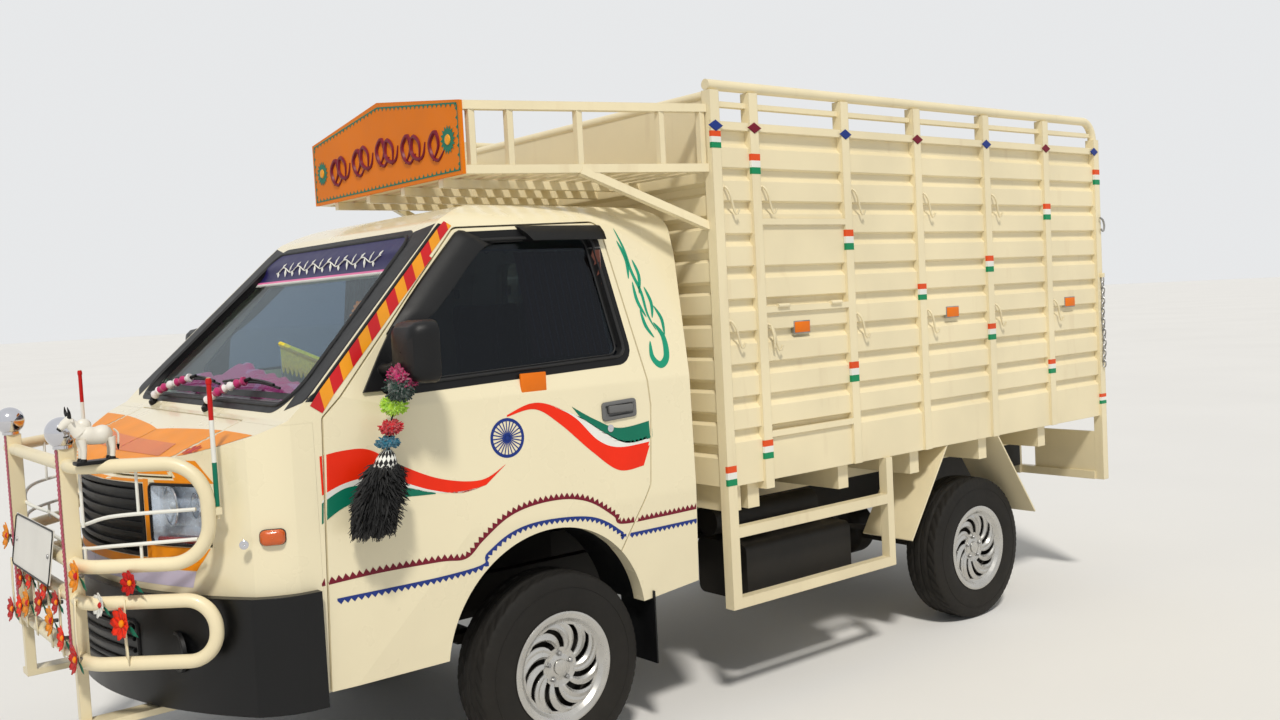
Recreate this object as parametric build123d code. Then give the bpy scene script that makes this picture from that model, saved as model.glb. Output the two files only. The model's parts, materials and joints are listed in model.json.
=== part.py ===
"""Decorated light goods truck: a two-seat cab, a high-sided open load body, a rack over the cab
with a sign board, and a tubular front guard. Millimetres; X is the truck's left, Y its rear, Z up.

Every Y below is measured from the front axle. The export moves the whole truck so that its
origin is on the ground under the middle of its length."""
from build123d import *
import math
import os

# Overall
WHEELBASE = 2350
FRONT_REACH = 1445
REAR_REACH = 3385
SEAM = 6
HINGE_R = 8

# Wheels
TRACK = 1410
TYRE_R = 325
TYRE_W = 185
RIM_R = 178
COVER_R = 193
KINGPIN_X = 610
HUB_R = 62
SLOT_RADII = (68, 147)
SLOT_WIDTHS = (15, 10)
SLOT_SWEEP = 36
SLOT_PAIRS = 5
SLOT_STEP = 31
LINER_T = 4
LINER_INNER_X = 560
FRONT_FLAP_Y = 386
FLAP_T = 6
FLAP_X = (620, 815)
FLAP_LOW = 255
SPINDLE_R = 20
RUNNING_FIT = 1

# Chassis
CAB_FLOOR = 600
RAIL_X = 385
RAIL_W = 50
RAIL_H = 120
RAIL_TOP = 680
RAIL_FRONT = -1130
RAIL_REAR = 3290
FRONT_RAIL_LOW = CAB_FLOOR - RAIL_H
REAR_RAIL_LOW = RAIL_TOP - RAIL_H
CROSS_MEMBERS = ((-1080, 590), (1100, 670), (1700, 670), (2080, 670), (2540, 670), (3255, 670))
AXLE_R = 42
SPRING_W = 60
LEAF_T = 9
FRONT_SEAT_Z = TYRE_R + 46
REAR_SEAT_Z = TYRE_R + AXLE_R + 14

# Leaf springs: axle, half length, seat's height, camber, rail's underside
SPRINGS = (
    (0, 480, FRONT_SEAT_Z, 30, FRONT_RAIL_LOW),
    (WHEELBASE, 560, REAR_SEAT_Z, 70, REAR_RAIL_LOW),
)

# Cab, seen from the side, from the front and from above
CAB_HALF = 830
CAB_REAR = 657
CAB_SILL = 457
CAB_WALL = 55
BELT_Z = 1290
ROOF_Z = 1915
NOSE_Y = -1250
NOSE_RADIUS = 1250
DOOR_DRAFT = 12
DOOR_START_X = 600
ARCH_Y = -43
ARCH_Z = 415
ARCH_R = 398
SEAT_BOX_Z = 930
GLASS_DEPTH = 20
GLASS_T = 6
FIREWALL_Y = -940
FIREWALL_T = 50
SHEET_T = 35
BUMPER_TOP = 765
BUMPER_LOW = 425
BUMPER_T = 30
DOOR_FRONT = -827

# Load body
BODY_FRONT = 720
BODY_REAR = REAR_REACH - 2 * HINGE_R - RUNNING_FIT
BODY_HALF = 870
BODY_LOW = 842
BELT_RAIL_Z = 2190
TOP_RAIL_Z = 2322
TOP_RAIL_R = 20
POST_W = 45
POST_YS = (742, 939, 1451, 1912, 2410, 2892, BODY_REAR - POST_W / 2)

FLOOR_T = 30
BEARER_H = 100
GROOVE_TOP_Z = 2005
GROOVE_PITCH = 121.5
GROOVE_COUNT = 9
FLAP_PLAIN_GROOVE = 2
BELT_RAIL_H = 30
TOP_RAIL_BEND = 90
GROOVE_W = 26
GROOVE_DEPTH = 18
SHEET_SET = 12
HEAD_GROOVE_DEPTH = 20
TAILGATE_TOP = 1450
SIDE_GUARD_END = 1640
SIDE_GUARD_LOW = 385
SIDE_GUARD_UP = 650
# The second bay's hinged flap: the heights of its three bars
FLAP_BAY = 1
FLAP_BARS = (1017, 1490, 1823)

# Rack and sign board over the cab
RACK_FRONT = -150
RACK_HALF = 593
RACK_FLOOR_Z = 2036
RACK_TOP_Z = 2252
RACK_TUBE = 30
RACK_SLATS = 12
RACK_JOIST_XS = (-420, -140, 140, 420)
RACK_POST_SHARES = (0.02, 0.17, 0.45, 0.8, 0.98)
BRACE_TOP_Y = 249
BRACE_LOW_Z = 1799
SIGN_APEX_Z = 2335
SIGN_T = 12

# Rear hinges and the low bar behind
DOOR_PIN_X = BODY_HALF - POST_W - 3
DOOR_PIN_Y = REAR_REACH - HINGE_R
DOOR_HINGE_ZS = (1600, 2030)
GATE_PIN_Y = REAR_REACH - HINGE_R
GATE_PIN_Z = BODY_LOW + FLOOR_T
GATE_HINGE_XS = (-600, 0, 600)
REAR_BEAM_LOW = 515

# Steering and column
STEER_X = -385
STEER_CENTRE = (STEER_X, -500, 1205)
STEER_TILT = 35
STEER_RIM_R = 190
BOSS_LENGTH = 50
COLUMN_R = 28

# Front guard
POLE_R = 6
BALL_R = 45
GUARD_Y = BALL_R + 5 - FRONT_REACH
GUARD_HALF = 700
GUARD_BEND_X = 450
GUARD_END_Y = -1115
GUARD_R = 20
GUARD_LOOPS = ((880, 1165, 120), (600, 775, 84))
GUARD_POST_X = 350
GUARD_POST_LOW = 575
GUARD_POST_TOP = 1215
GUARD_ARM_Z = 395
GUARD_ARM_T = 20
PLATE_TOP_Z = 965
PLATE_LOW_Z = 805
PLATE_LEAN = 24
PLATE_T = 3
PLATE_WIDTH = 500

MIDDLE_Y = (REAR_REACH - FRONT_REACH) / 2
pieces = {}


def box(x0, x1, y0, y1, z0, z1):
    """A block between two corners."""
    centre = Pos((x0 + x1) / 2, (y0 + y1) / 2, (z0 + z1) / 2)
    return centre * Box(abs(x1 - x0), abs(y1 - y0), abs(z1 - z0))


def rod(start, end, radius):
    """A round bar between two points."""
    start = Vector(*start)
    end = Vector(*end)
    plane = Plane(origin=start, z_dir=end - start)
    return extrude(plane * Circle(radius), (end - start).length)


def bar(start, end, width, height):
    """A straight bar of rectangular section between two points."""
    start = Vector(*start)
    end = Vector(*end)
    run = end - start
    side = Vector(1, 0, 0) if abs(run.normalized().X) < 0.9 else Vector(0, 1, 0)
    plane = Plane(origin=start, x_dir=side - run.normalized() * side.dot(run.normalized()), z_dir=run)
    return extrude(plane * Rectangle(width, height), run.length)


def mirrored(shape):
    """The same shape on the truck's right."""
    return mirror(shape, about=Plane.YZ)


def both_sides(shape):
    return shape + mirrored(shape)


def outline(rows):
    """A closed face from rows of two coordinates and the corner's radius."""
    points = [(row[0], row[1]) for row in rows]
    radii = [row[2] for row in rows]
    return make_face(FilletPolyline(*points, radius=radii, close=True))


def side_prism(face, half_width):
    """A face drawn in (Y, Z) and run across the truck."""
    return extrude(Plane.YZ * face, half_width, both=True)


def plan_prism(face, z0, z1):
    """A face drawn in (X, Y) and run upward."""
    return extrude(Plane.XY.offset(z0) * face, z1 - z0)


def front_prism(face):
    """A face drawn in (X, Z) and run along the truck's cab."""
    plane = Plane(origin=(0, 1500, 0), x_dir=(1, 0, 0), z_dir=(0, -1, 0))
    return extrude(plane * face, 4000)


# The cab's outline rows: two coordinates and the corner's radius
SIDE_ROWS = (
    (CAB_REAR, CAB_SILL + 60, 25),
    (CAB_REAR, ROOF_Z - 20, 90),
    (-150, ROOF_Z, 500),
    (-300, 1848, 60),
    (-905, 1262, 30),
    (-1195, 1145, 70),
    (NOSE_Y - 30, 1040, 60),
    (NOSE_Y - 30, CAB_SILL, 25),
    (-444, CAB_SILL, 12),
    (349, CAB_SILL + 30, 12),
)
FRONT_ROWS = (
    (-792, CAB_SILL - 150, 10),
    (792, CAB_SILL - 150, 10),
    (CAB_HALF, 860, 200),
    (815, BELT_Z - 20, 60),
    (665, 1850, 120),
    (560, ROOF_Z - 8, 120),
    (0, ROOF_Z + 18, 3000),
    (-560, ROOF_Z - 8, 120),
    (-665, 1850, 120),
    (-815, BELT_Z - 20, 60),
    (-CAB_HALF, 860, 200),
)
PLAN_SIDE_ROWS = (
    (700, CAB_REAR, 0),
    (CAB_HALF, CAB_REAR - 60, 0),
    (CAB_HALF, -350, 0),
    (792, -900, 0),
)


def cab_plan():
    """The cab from above: straight sides that narrow forward, round corners, a bowed nose."""
    corner_x = 735
    corner_y = NOSE_Y + NOSE_RADIUS - math.sqrt(NOSE_RADIUS ** 2 - corner_x ** 2)
    side = [(row[0], row[1]) for row in PLAN_SIDE_ROWS]
    left = Polyline(*side)
    corner = ThreePointArc((792, -900), (771, -958), (corner_x, corner_y))
    nose = ThreePointArc((corner_x, corner_y), (0, NOSE_Y), (-corner_x, corner_y))
    corner_right = ThreePointArc((-corner_x, corner_y), (-771, -958), (-792, -900))
    right = Polyline(*[(-x, y) for x, y in reversed(side)])
    back = Line((-700, CAB_REAR), (700, CAB_REAR))
    return make_face([left, corner, nose, corner_right, right, back])


def cab_solid(inset):
    """The cab's outer form, or the same form shrunk by a wall."""
    side = outline(SIDE_ROWS)
    front = outline(FRONT_ROWS)
    plan = cab_plan()
    if inset:
        side = offset(side, amount=-inset)
        front = offset(front, amount=-inset)
        plan = offset(plan, amount=-inset)
    solid = side_prism(side, 1000) & front_prism(front) & plan_prism(plan, 300, 2100)
    return solid


def side_space(wall):
    """Everything between the two side walls, whatever the height of roof and screen."""
    front = offset(outline(FRONT_ROWS), amount=-wall)
    plan = offset(cab_plan(), amount=-wall)
    return front_prism(front) & plan_prism(plan, 300, 2100)


def nose_layer(depth, proud, x0, x1, z0, z1):
    """A curved plate that follows the nose between two depths."""
    plan = cab_plan()
    outer = plan_prism(offset(plan, amount=proud) if proud else plan, z0, z1)
    inner = plan_prism(offset(plan, amount=-depth) if depth else plan, z0 - 1, z1 + 1)
    return (outer - inner) & box(x0, x1, NOSE_Y - 200, -850, z0, z1)


# Door outline rows in (Y, Z), with the window's and the windscreen's
DOOR_ROWS = (
    (DOOR_FRONT, CAB_SILL - 30, 10),
    (-800, 1262, 20),
    (-228, 1822, 45),
    (372, 1842, 40),
    (418, 1180, 40),
    (390, 900, 60),
    (254, 685, 20),
    (240, CAB_SILL - 30, 10),
)
WINDOW_ROWS = (
    (-640, 1330, 30),
    (-232, 1775, 40),
    (318, 1795, 35),
    (338, 1362, 35),
)
SCREEN_ROWS = (
    (-700, 1300, 60),
    (-548, 1800, 60),
    (548, 1800, 60),
    (700, 1300, 60),
)


def door_prism(rows, grow):
    """A door outline run outward, with the draft that lets the shut faces part at once."""
    face = outline(rows)
    if grow:
        face = offset(face, amount=grow)
    lean = math.radians(DOOR_DRAFT)
    inner = Plane(origin=(DOOR_START_X, 0, 0), x_dir=(0, 1, 0), z_dir=(1, 0, 0))
    moved = inner * Pos(-math.tan(lean) * (CAB_HALF - DOOR_START_X), 0) * face
    return extrude(moved, 450 / math.cos(lean), dir=(math.cos(lean), math.sin(lean), 0))


def arch_cut(radius, x0, x1):
    plane = Plane(origin=(x0, ARCH_Y, ARCH_Z), z_dir=(1, 0, 0))
    return extrude(plane * Circle(radius), x1 - x0)


def screen_prism(grow):
    face = outline(SCREEN_ROWS)
    if grow:
        face = offset(face, amount=grow)
    plane = Plane(origin=(0, -400, 0), x_dir=(1, 0, 0), z_dir=(0, -1, 0))
    return extrude(plane * face, 700)


def rear_window_prism():
    face = outline(((-480, 1380, 50), (-450, 1740, 50), (450, 1740, 50), (480, 1380, 50)))
    plane = Plane(origin=(0, CAB_REAR + 100, 0), x_dir=(1, 0, 0), z_dir=(0, -1, 0))
    return extrude(plane * face, 200)


BONNET_REAR_Y = -925
COWL_Z = BELT_Z - 40
FOOTWELL_Z = CAB_FLOOR + 60
UNDER_HALF = 715
DOOR_GAP = 4
LAMP_DEPTH = 45
LAMP_BOX = (400, 622, 905, 1090)
GRILLE_DEPTH = 25
GRILLE_BOX = (-370, 370, 865, 1085)
GRILLE_SLATS = 6


def bonnet_prism(grow):
    return box(-500 - grow, 500 + grow, -1400, BONNET_REAR_Y + grow, 1104 - grow, 1400)


def cab():
    """The cab's sheet metal with its doors, glass, bonnet and nose pieces."""
    outer = cab_solid(0)
    inner = cab_solid(CAB_WALL)
    thin = cab_solid(SHEET_T)
    # The cabin's space: footwell, then a step up to the seat box
    footwell = box(-900, 900, FIREWALL_Y, -500, FOOTWELL_Z, 2100)
    above_seats = box(-900, 900, -510, CAB_REAR, SEAT_BOX_Z, 2100)
    cabin = inner & (footwell + above_seats)
    nose_space = thin & box(-UNDER_HALF, UNDER_HALF, NOSE_Y, FIREWALL_Y - FIREWALL_T, CAB_SILL + 80, 1400)
    under_floor = box(-UNDER_HALF, UNDER_HALF, -1500, -400, 300, CAB_FLOOR)
    under_seats = box(-UNDER_HALF, UNDER_HALF, -450, CAB_REAR - 45, 300, SEAT_BOX_Z - 60)
    under_seats += box(-UNDER_HALF, UNDER_HALF, -450, CAB_REAR + 10, 300, RAIL_TOP + 20)
    wheel_space = arch_cut(ARCH_R, -1000, 1000)
    shell = outer - cabin - nose_space - under_floor - under_seats - wheel_space

    doorway = door_prism(DOOR_ROWS, 0) - side_space(CAB_WALL + DOOR_GAP)
    door = outer & door_prism(DOOR_ROWS, -SEAM)
    door = largest(door - side_space(CAB_WALL) - wheel_space)
    window = door_prism(WINDOW_ROWS, 0)
    door -= window
    door_glass = (side_space(GLASS_DEPTH) - side_space(GLASS_DEPTH + GLASS_T)) & window
    glass_layer = cab_solid(GLASS_DEPTH) - cab_solid(GLASS_DEPTH + GLASS_T)
    shell -= both_sides(doorway)

    screen = glass_layer & screen_prism(0) & box(-1000, 1000, -1200, -150, 1200, 1900)
    rear_window = glass_layer & rear_window_prism()
    shell = shell - screen_prism(0) - rear_window_prism()

    bonnet = (outer - thin) & bonnet_prism(-SEAM)
    shell -= bonnet_prism(0) & (outer - thin)

    headlamp = nose_layer(LAMP_DEPTH, 4, *LAMP_BOX)
    shell -= both_sides(nose_layer(LAMP_DEPTH, 60, *LAMP_BOX))
    shell -= nose_layer(GRILLE_DEPTH, 60, *GRILLE_BOX)

    floor_space = side_space(CAB_WALL + DOOR_GAP)
    floor_space &= box(-900, 900, FIREWALL_Y - FIREWALL_T, CAB_REAR - CAB_WALL, 300, SEAT_BOX_Z)
    before_doors = box(-1000, 1000, -1500, DOOR_FRONT - SEAM, 300, COWL_Z)
    rest = shell - floor_space
    return {
        "cab_nose": largest(rest & before_doors),
        "cab_floor": largest(shell & floor_space),
        "cab_body": largest(rest - before_doors),
        "left_door": door,
        "left_door_glass": door_glass,
        "cab_glass": screen + rear_window,
        "bonnet": largest(bonnet),
        "headlamps": both_sides(headlamp),
    }


def grille():
    """A curved back plate with level slats that stand proud of it, inside a rim."""
    x0, x1, z0, z1 = GRILLE_BOX
    rim = 12
    panel = nose_layer(GRILLE_DEPTH, -16, *GRILLE_BOX)
    frame = nose_layer(GRILLE_DEPTH, 3, *GRILLE_BOX)
    frame -= nose_layer(GRILLE_DEPTH + 5, 20, x0 + rim, x1 - rim, z0 + rim, z1 - rim)
    whole = panel + frame
    pitch = (z1 - z0 - 2 * rim) / GRILLE_SLATS
    for index in range(GRILLE_SLATS):
        z = z0 + rim + pitch * (index + 0.5)
        whole += nose_layer(GRILLE_DEPTH, -3, x0 + rim, x1 - rim, z - 7, z + 7)
    return whole


def save(name, shape):
    pieces[name] = shape


def largest(shape):
    return max(shape.solids(), key=lambda solid: solid.volume)


def fitted(shape, others):
    """The shape, cut back where it meets pieces already in place."""
    for other in others:
        shape = shape - other
    return largest(shape)


def make_cab():
    for name, shape in cab().items():
        save(name, shape)
    save("right_door", mirrored(pieces["left_door"]))
    save("right_door_glass", mirrored(pieces["left_door_glass"]))
    save("grille", grille())
    bumper = nose_layer(0, BUMPER_T, -900, 900, BUMPER_LOW, BUMPER_TOP)
    bumper = bumper & box(-900, 900, -1500, DOOR_FRONT - 16, BUMPER_LOW, BUMPER_TOP)
    save("front_bumper", bumper)
    indicator = nose_layer(0, 8, 740, 900, 915, 955) & box(700, 900, -1000, -940, 900, 970)
    save("side_indicators", both_sides(indicator))


def make_arch_liners():
    """Thin arched sheets under the seat box, over the front wheels, with a mud flap behind each."""
    ring = arch_cut(ARCH_R + LINER_T, LINER_INNER_X, UNDER_HALF) - arch_cut(ARCH_R, LINER_INNER_X - 1, 900)
    liner = ring & box(0, 900, ARCH_Y - ARCH_R, CAB_REAR, CAB_SILL + 30, SEAT_BOX_Z)
    flap = box(FLAP_X[0], FLAP_X[1], FRONT_FLAP_Y, FRONT_FLAP_Y + FLAP_T, FLAP_LOW, CAB_SILL + 60)
    flap = largest(flap - pieces["cab_body"] - pieces["cab_floor"])
    solids = [largest(liner), flap]
    save("arch_liners", Compound(solids + [mirrored(solid) for solid in solids]))


# Seats and dashboard in (Y, Z): each seat's centre and width, then the outline rows
SEATS = ((-385, 520), (255, 740))
CUSHION_ROWS = ((-440, SEAT_BOX_Z, 10), (-440, 1050, 45), (430, 1030, 20), (430, SEAT_BOX_Z, 10))
BACK_ROWS = (
    (430, SEAT_BOX_Z, 0),
    (430, 1040, 0),
    (480, 1600, 40),
    (560, 1600, 40),
    (560, SEAT_BOX_Z, 0),
)
DASH_ROWS = (
    (FIREWALL_Y, 880, 0),
    (FIREWALL_Y, 1215, 30),
    (-650, 1225, 60),
    (-610, 1100, 50),
    (-640, 880, 30),
)


def make_seats_and_dash():
    dash = outline(DASH_ROWS)
    seats = []
    for centre_x, width in SEATS:
        seat = side_prism(outline(CUSHION_ROWS), width / 2) + side_prism(outline(BACK_ROWS), width / 2)
        seats.append(Pos(centre_x, 0, 0) * seat)
    save("seats", Compound(seats))
    column = extrude(steering_plane(RUNNING_FIT + BOSS_LENGTH) * Circle(COLUMN_R), -1000)
    column = column & box(-900, 900, FIREWALL_Y, 0, FOOTWELL_Z, 1400)
    save("dashboard", (side_prism(dash, 760) & cab_solid(CAB_WALL)) + column)


def steering_plane(distance):
    """The plane across the steering column, at a distance below the wheel."""
    lean = math.radians(STEER_TILT)
    axis = Vector(0, math.sin(lean), math.cos(lean))
    origin = Vector(*STEER_CENTRE) - axis * distance
    return Plane(origin=origin, x_dir=(1, 0, 0), z_dir=axis)


def make_steering_wheel():
    plane = steering_plane(0)
    rim = Torus(STEER_RIM_R, 14)
    wheel = rim + Pos(0, 0, -BOSS_LENGTH / 2) * Cylinder(40, BOSS_LENGTH)
    for angle in (0, 180, 270):
        wheel += Rot(0, 0, angle) * Pos(105, 0, -8) * Box(170, 30, 12)
    save("steering_wheel", plane * wheel)


def spring_stack(axle_y, half_length, eye_z, camber):
    """A leaf spring: shorter leaves under the main one, bowed down in the middle."""
    stack = None
    for index in range(4):
        length = half_length * (1 - 0.2 * index)
        drop = camber * (length / half_length) ** 2
        top = eye_z - LEAF_T * index
        middle = top - camber
        ends = middle + drop
        upper = ThreePointArc((-length, ends), (0, middle), (length, ends))
        lower = ThreePointArc((length, ends - LEAF_T), (0, middle - LEAF_T), (-length, ends - LEAF_T))
        right = Line((length, ends), (length, ends - LEAF_T))
        left = Line((-length, ends - LEAF_T), (-length, ends))
        leaf = extrude(Plane.YZ * make_face([upper, right, lower, left]), SPRING_W / 2, both=True)
        leaf = Pos(RAIL_X, axle_y, 0) * leaf
        stack = leaf if stack is None else stack + leaf
    return stack


def make_chassis():
    """Two rails that step up behind the cab, and the cross members between them."""
    kick = (450, 700)
    bend = 200
    rail = side_prism(outline((
        (RAIL_FRONT, FRONT_RAIL_LOW, 0),
        (kick[0], FRONT_RAIL_LOW, bend),
        (kick[1], REAR_RAIL_LOW, bend),
        (RAIL_REAR, REAR_RAIL_LOW, 0),
        (RAIL_REAR, RAIL_TOP, 0),
        (kick[1], RAIL_TOP, bend),
        (kick[0], CAB_FLOOR, bend),
        (RAIL_FRONT, CAB_FLOOR, 0),
    )), RAIL_W / 2)
    rail = Pos(RAIL_X, 0, 0) * rail
    inner = RAIL_X - RAIL_W / 2
    members = [box(-inner, inner, y - 30, y + 30, top - 80, top) for y, top in CROSS_MEMBERS]
    save("chassis_frame", Compound([rail, mirrored(rail), *members]))


def wheel_hub_face():
    return TRACK / 2 - 45


def make_axles():
    hub = wheel_hub_face() - RUNNING_FIT
    rear = rod((-hub, WHEELBASE, TYRE_R), (hub, WHEELBASE, TYRE_R), AXLE_R)
    housing = rod((0, WHEELBASE - 70, TYRE_R), (0, WHEELBASE + 80, TYRE_R), 130)
    rear += fillet(housing.edges().filter_by(GeomType.CIRCLE), 35)
    rear += rod(shaft_point(1), shaft_point(1.1), 45)
    rear += both_sides(rod((hub - 10, WHEELBASE, TYRE_R), (TRACK / 2 + 10, WHEELBASE, TYRE_R), SPINDLE_R))
    rear += both_sides(box(RAIL_X - 30, RAIL_X + 30, WHEELBASE - 50, WHEELBASE + 50, TYRE_R, REAR_SEAT_Z))
    save("rear_axle", rear)


def tyre():
    half = TYRE_W / 2
    return revolve(outline((
        (-half + 16, RIM_R, 0),
        (-half, RIM_R + 55, 40),
        (-half + 12, TYRE_R, 26),
        (half - 12, TYRE_R, 26),
        (half, RIM_R + 55, 40),
        (half - 16, RIM_R, 0),
    )), Axis.X)


def wheel():
    """Steel rim, dished disc and hub; the hub's bore runs on the spindle."""
    half = TYRE_W / 2 - 16
    bore = SPINDLE_R + RUNNING_FIT
    face = outline((
        (-half, RIM_R, 0),
        (-half, RIM_R - 8, 0),
        (-30, RIM_R - 28, 20),
        (5, RIM_R - 30, 10),
        (20, 120, 20),
        (0, HUB_R, 10),
        (-45, HUB_R, 0),
        (-45, bore, 0),
        (15, bore, 0),
        (15, 0, 0),
        (30, 0, 0),
        (30, 34, 4),
        (12, HUB_R + 4, 8),
        (32, 120, 20),
        (16, RIM_R - 24, 6),
        (half, RIM_R - 12, 0),
        (half, RIM_R, 0),
    ))
    return revolve(face, Axis.X)


def polar(radius, degrees):
    angle = math.radians(degrees)
    return (radius * math.cos(angle), radius * math.sin(angle))


def swirl_slot(angle):
    """One curved gap between two blades of the wheel cover, drawn across the wheel."""
    r0, r1 = SLOT_RADII
    middle = (r0 + r1) / 2
    edges = []
    for lead in (0, 1):
        start = polar(r0, angle + lead * SLOT_WIDTHS[0])
        bend = polar(middle, angle + lead * (SLOT_WIDTHS[0] + SLOT_WIDTHS[1]) / 2 + SLOT_SWEEP * 0.36)
        end = polar(r1, angle + lead * SLOT_WIDTHS[1] + SLOT_SWEEP)
        edges.append((start, bend, end))
    first, second = edges
    face = make_face([
        ThreePointArc(*first),
        Line(first[2], second[2]),
        ThreePointArc(*reversed(second)),
        Line(second[0], first[0]),
    ])
    plane = Plane(origin=(30, 0, 0), x_dir=(0, 1, 0), z_dir=(1, 0, 0))
    return extrude(plane * face, 80)


def cover():
    """Pressed wheel cover: a plain cap, ten swirled blades in five pairs, and a rolled rim."""
    half = TYRE_W / 2 - 16
    face = outline((
        (60, 0, 0),
        (60, 30, 4),
        (55, 46, 6),
        (58, 62, 0),
        (70, RIM_R - 22, 8),
        (84, RIM_R - 8, 6),
        (88, COVER_R - 7, 3),
        (87, COVER_R, 0),
        (83, COVER_R, 0),
        (half, RIM_R, 0),
        (half, RIM_R - 12, 0),
        (64, RIM_R - 26, 4),
        (53, 62, 0),
        (51, 46, 4),
        (56, 28, 3),
        (56, 0, 0),
    ))
    disc = revolve(face, Axis.X)
    for pair in range(SLOT_PAIRS):
        for step in (0, SLOT_STEP):
            disc -= swirl_slot(pair * 360 / SLOT_PAIRS + step)
    return disc


def make_wheels():
    forms = {"tyre": tyre(), "wheel": wheel(), "cover": cover()}
    for axle, y in (("front", 0), ("rear", WHEELBASE)):
        for form, shape in forms.items():
            placed = Pos(TRACK / 2, y, TYRE_R) * shape
            save(f"{axle}_left_{form}", placed)
            save(f"{axle}_right_{form}", Pos(-TRACK / 2, y, TYRE_R) * Rot(0, 0, 180) * shape)


def make_front_axle():
    fist = Pos(KINGPIN_X, 0, TYRE_R) * Cylinder(30, 90)
    beam = box(-KINGPIN_X + 28, KINGPIN_X - 28, -25, 25, TYRE_R - 40, TYRE_R + 10)
    pad = box(RAIL_X - 30, RAIL_X + 30, -50, 50, TYRE_R, FRONT_SEAT_Z)
    beam = beam + both_sides(fist) + both_sides(pad)
    bore = Pos(KINGPIN_X, 0, TYRE_R) * Cylinder(15 + RUNNING_FIT, 200)
    save("front_axle", beam - both_sides(bore))
    hub_face = wheel_hub_face() - RUNNING_FIT
    yoke = box(KINGPIN_X + 33, hub_face, -35, 35, TYRE_R - 65, TYRE_R + 65)
    yoke += box(KINGPIN_X - 25, hub_face, -30, 30, TYRE_R + 47, TYRE_R + 65)
    yoke += box(KINGPIN_X - 25, hub_face, -30, 30, TYRE_R - 65, TYRE_R - 47)
    yoke += Pos(KINGPIN_X, 0, TYRE_R) * Cylinder(15, 140)
    yoke += rod((wheel_hub_face() - 5, 0, TYRE_R), (TRACK / 2 + 10, 0, TYRE_R), SPINDLE_R)
    save("left_knuckle", yoke)
    save("right_knuckle", mirrored(yoke))


def make_springs():
    """Four leaf stacks, and at each end of a stack the hanger that carries it on the rail."""
    left = []
    for axle_y, half_length, seat, camber, rail_low in SPRINGS:
        eye_z = seat + camber + 4 * LEAF_T
        stack = spring_stack(axle_y, half_length, eye_z, camber)
        left.append(stack)
        for sign in (-1, 1):
            y = axle_y + sign * (half_length - 20)
            hanger = box(RAIL_X - 20, RAIL_X + 20, y - 18, y + 18, eye_z - 10, rail_low)
            left.append(largest(hanger - stack))
    save("leaf_springs", Compound(left + [mirrored(piece) for piece in left]))


SHAFT_START = (0, 960, 560)
SHAFT_END = (0, WHEELBASE - 150, 350)


def shaft_point(share):
    start = Vector(*SHAFT_START)
    end = Vector(*SHAFT_END)
    return tuple(start + (end - start) * share)


def make_drive():
    inner = RAIL_X - RAIL_W / 2
    block = box(-220, 220, -330, 360, 400, 800)
    gearbox = box(-140, 140, 360, 800, 440, 640) + rod(shaft_point(-0.15), shaft_point(0), 45)
    mounts = both_sides(box(220, inner, -70, 10, FRONT_RAIL_LOW + 20, FRONT_RAIL_LOW + 80))
    save("engine", block + gearbox + mounts)
    shaft = rod(shaft_point(0), shaft_point(1), 32)
    shaft += rod(shaft_point(0), shaft_point(0.02), 50)
    shaft += rod(shaft_point(0.98), shaft_point(1), 50)
    save("propeller_shaft", shaft)


def make_under_body():
    outer = RAIL_X + RAIL_W / 2
    tank = box(500, 780, 880, 1480, 370, 590)
    tank = fillet(tank.edges().filter_by(Axis.Y), 30)
    for y in (950, 1380):
        tank += box(outer, 520, y, y + 40, 560, 585)
    save("fuel_tank", tank)
    silencer = rod((600, 850, 665), (600, 1430, 665), 55)
    for y in (1000, 1300):
        silencer += box(outer, 560, y, y + 30, 640, 670)
    save("silencer", silencer)
    spare = Pos(0, 2900, 560) * Cylinder(320, 180)
    spare = fillet(spare.edges(), 35)
    inner = RAIL_X - RAIL_W / 2
    spare += box(-20, 20, 2880, 2920, 640, RAIL_TOP)
    spare += box(-inner, inner, 2870, 2930, RAIL_TOP - 25, RAIL_TOP)
    save("spare_wheel", spare)


def side_sheet(y0, y1, grooves):
    """One bay's ribbed sheet between two posts; a groove that isn't listed stays plain."""
    out = BODY_HALF - SHEET_SET
    inside = BODY_HALF - POST_W
    back = out - GROOVE_DEPTH
    strip_low = GROOVE_TOP_Z + GROOVE_PITCH - GROOVE_W / 2
    points = [(inside, BELT_RAIL_Z - BELT_RAIL_H), (back, BELT_RAIL_Z - BELT_RAIL_H)]
    points += [(back, strip_low), (out, strip_low - GROOVE_DEPTH)]
    for index in grooves:
        middle = GROOVE_TOP_Z - GROOVE_PITCH * index
        points.append((out, middle + GROOVE_W / 2 + GROOVE_DEPTH / 3))
        points.append((back, middle + GROOVE_W / 2))
        points.append((back, middle - GROOVE_W / 2))
        points.append((out, middle - GROOVE_W / 2 - GROOVE_DEPTH))
    points += [(out, BODY_LOW), (inside, BODY_LOW)]
    plane = Plane(origin=(0, y1, 0), x_dir=(1, 0, 0), z_dir=(0, -1, 0))
    return extrude(plane * make_face(Polyline(*points, close=True)), y1 - y0)


def post_low(index):
    """How far down each post reaches: the first and last carry the guard and the rear bar."""
    lows = {0: SIDE_GUARD_LOW, 1: BODY_LOW - 30, len(POST_YS) - 1: REAR_BEAM_LOW}
    return lows.get(index, BODY_LOW)


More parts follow.
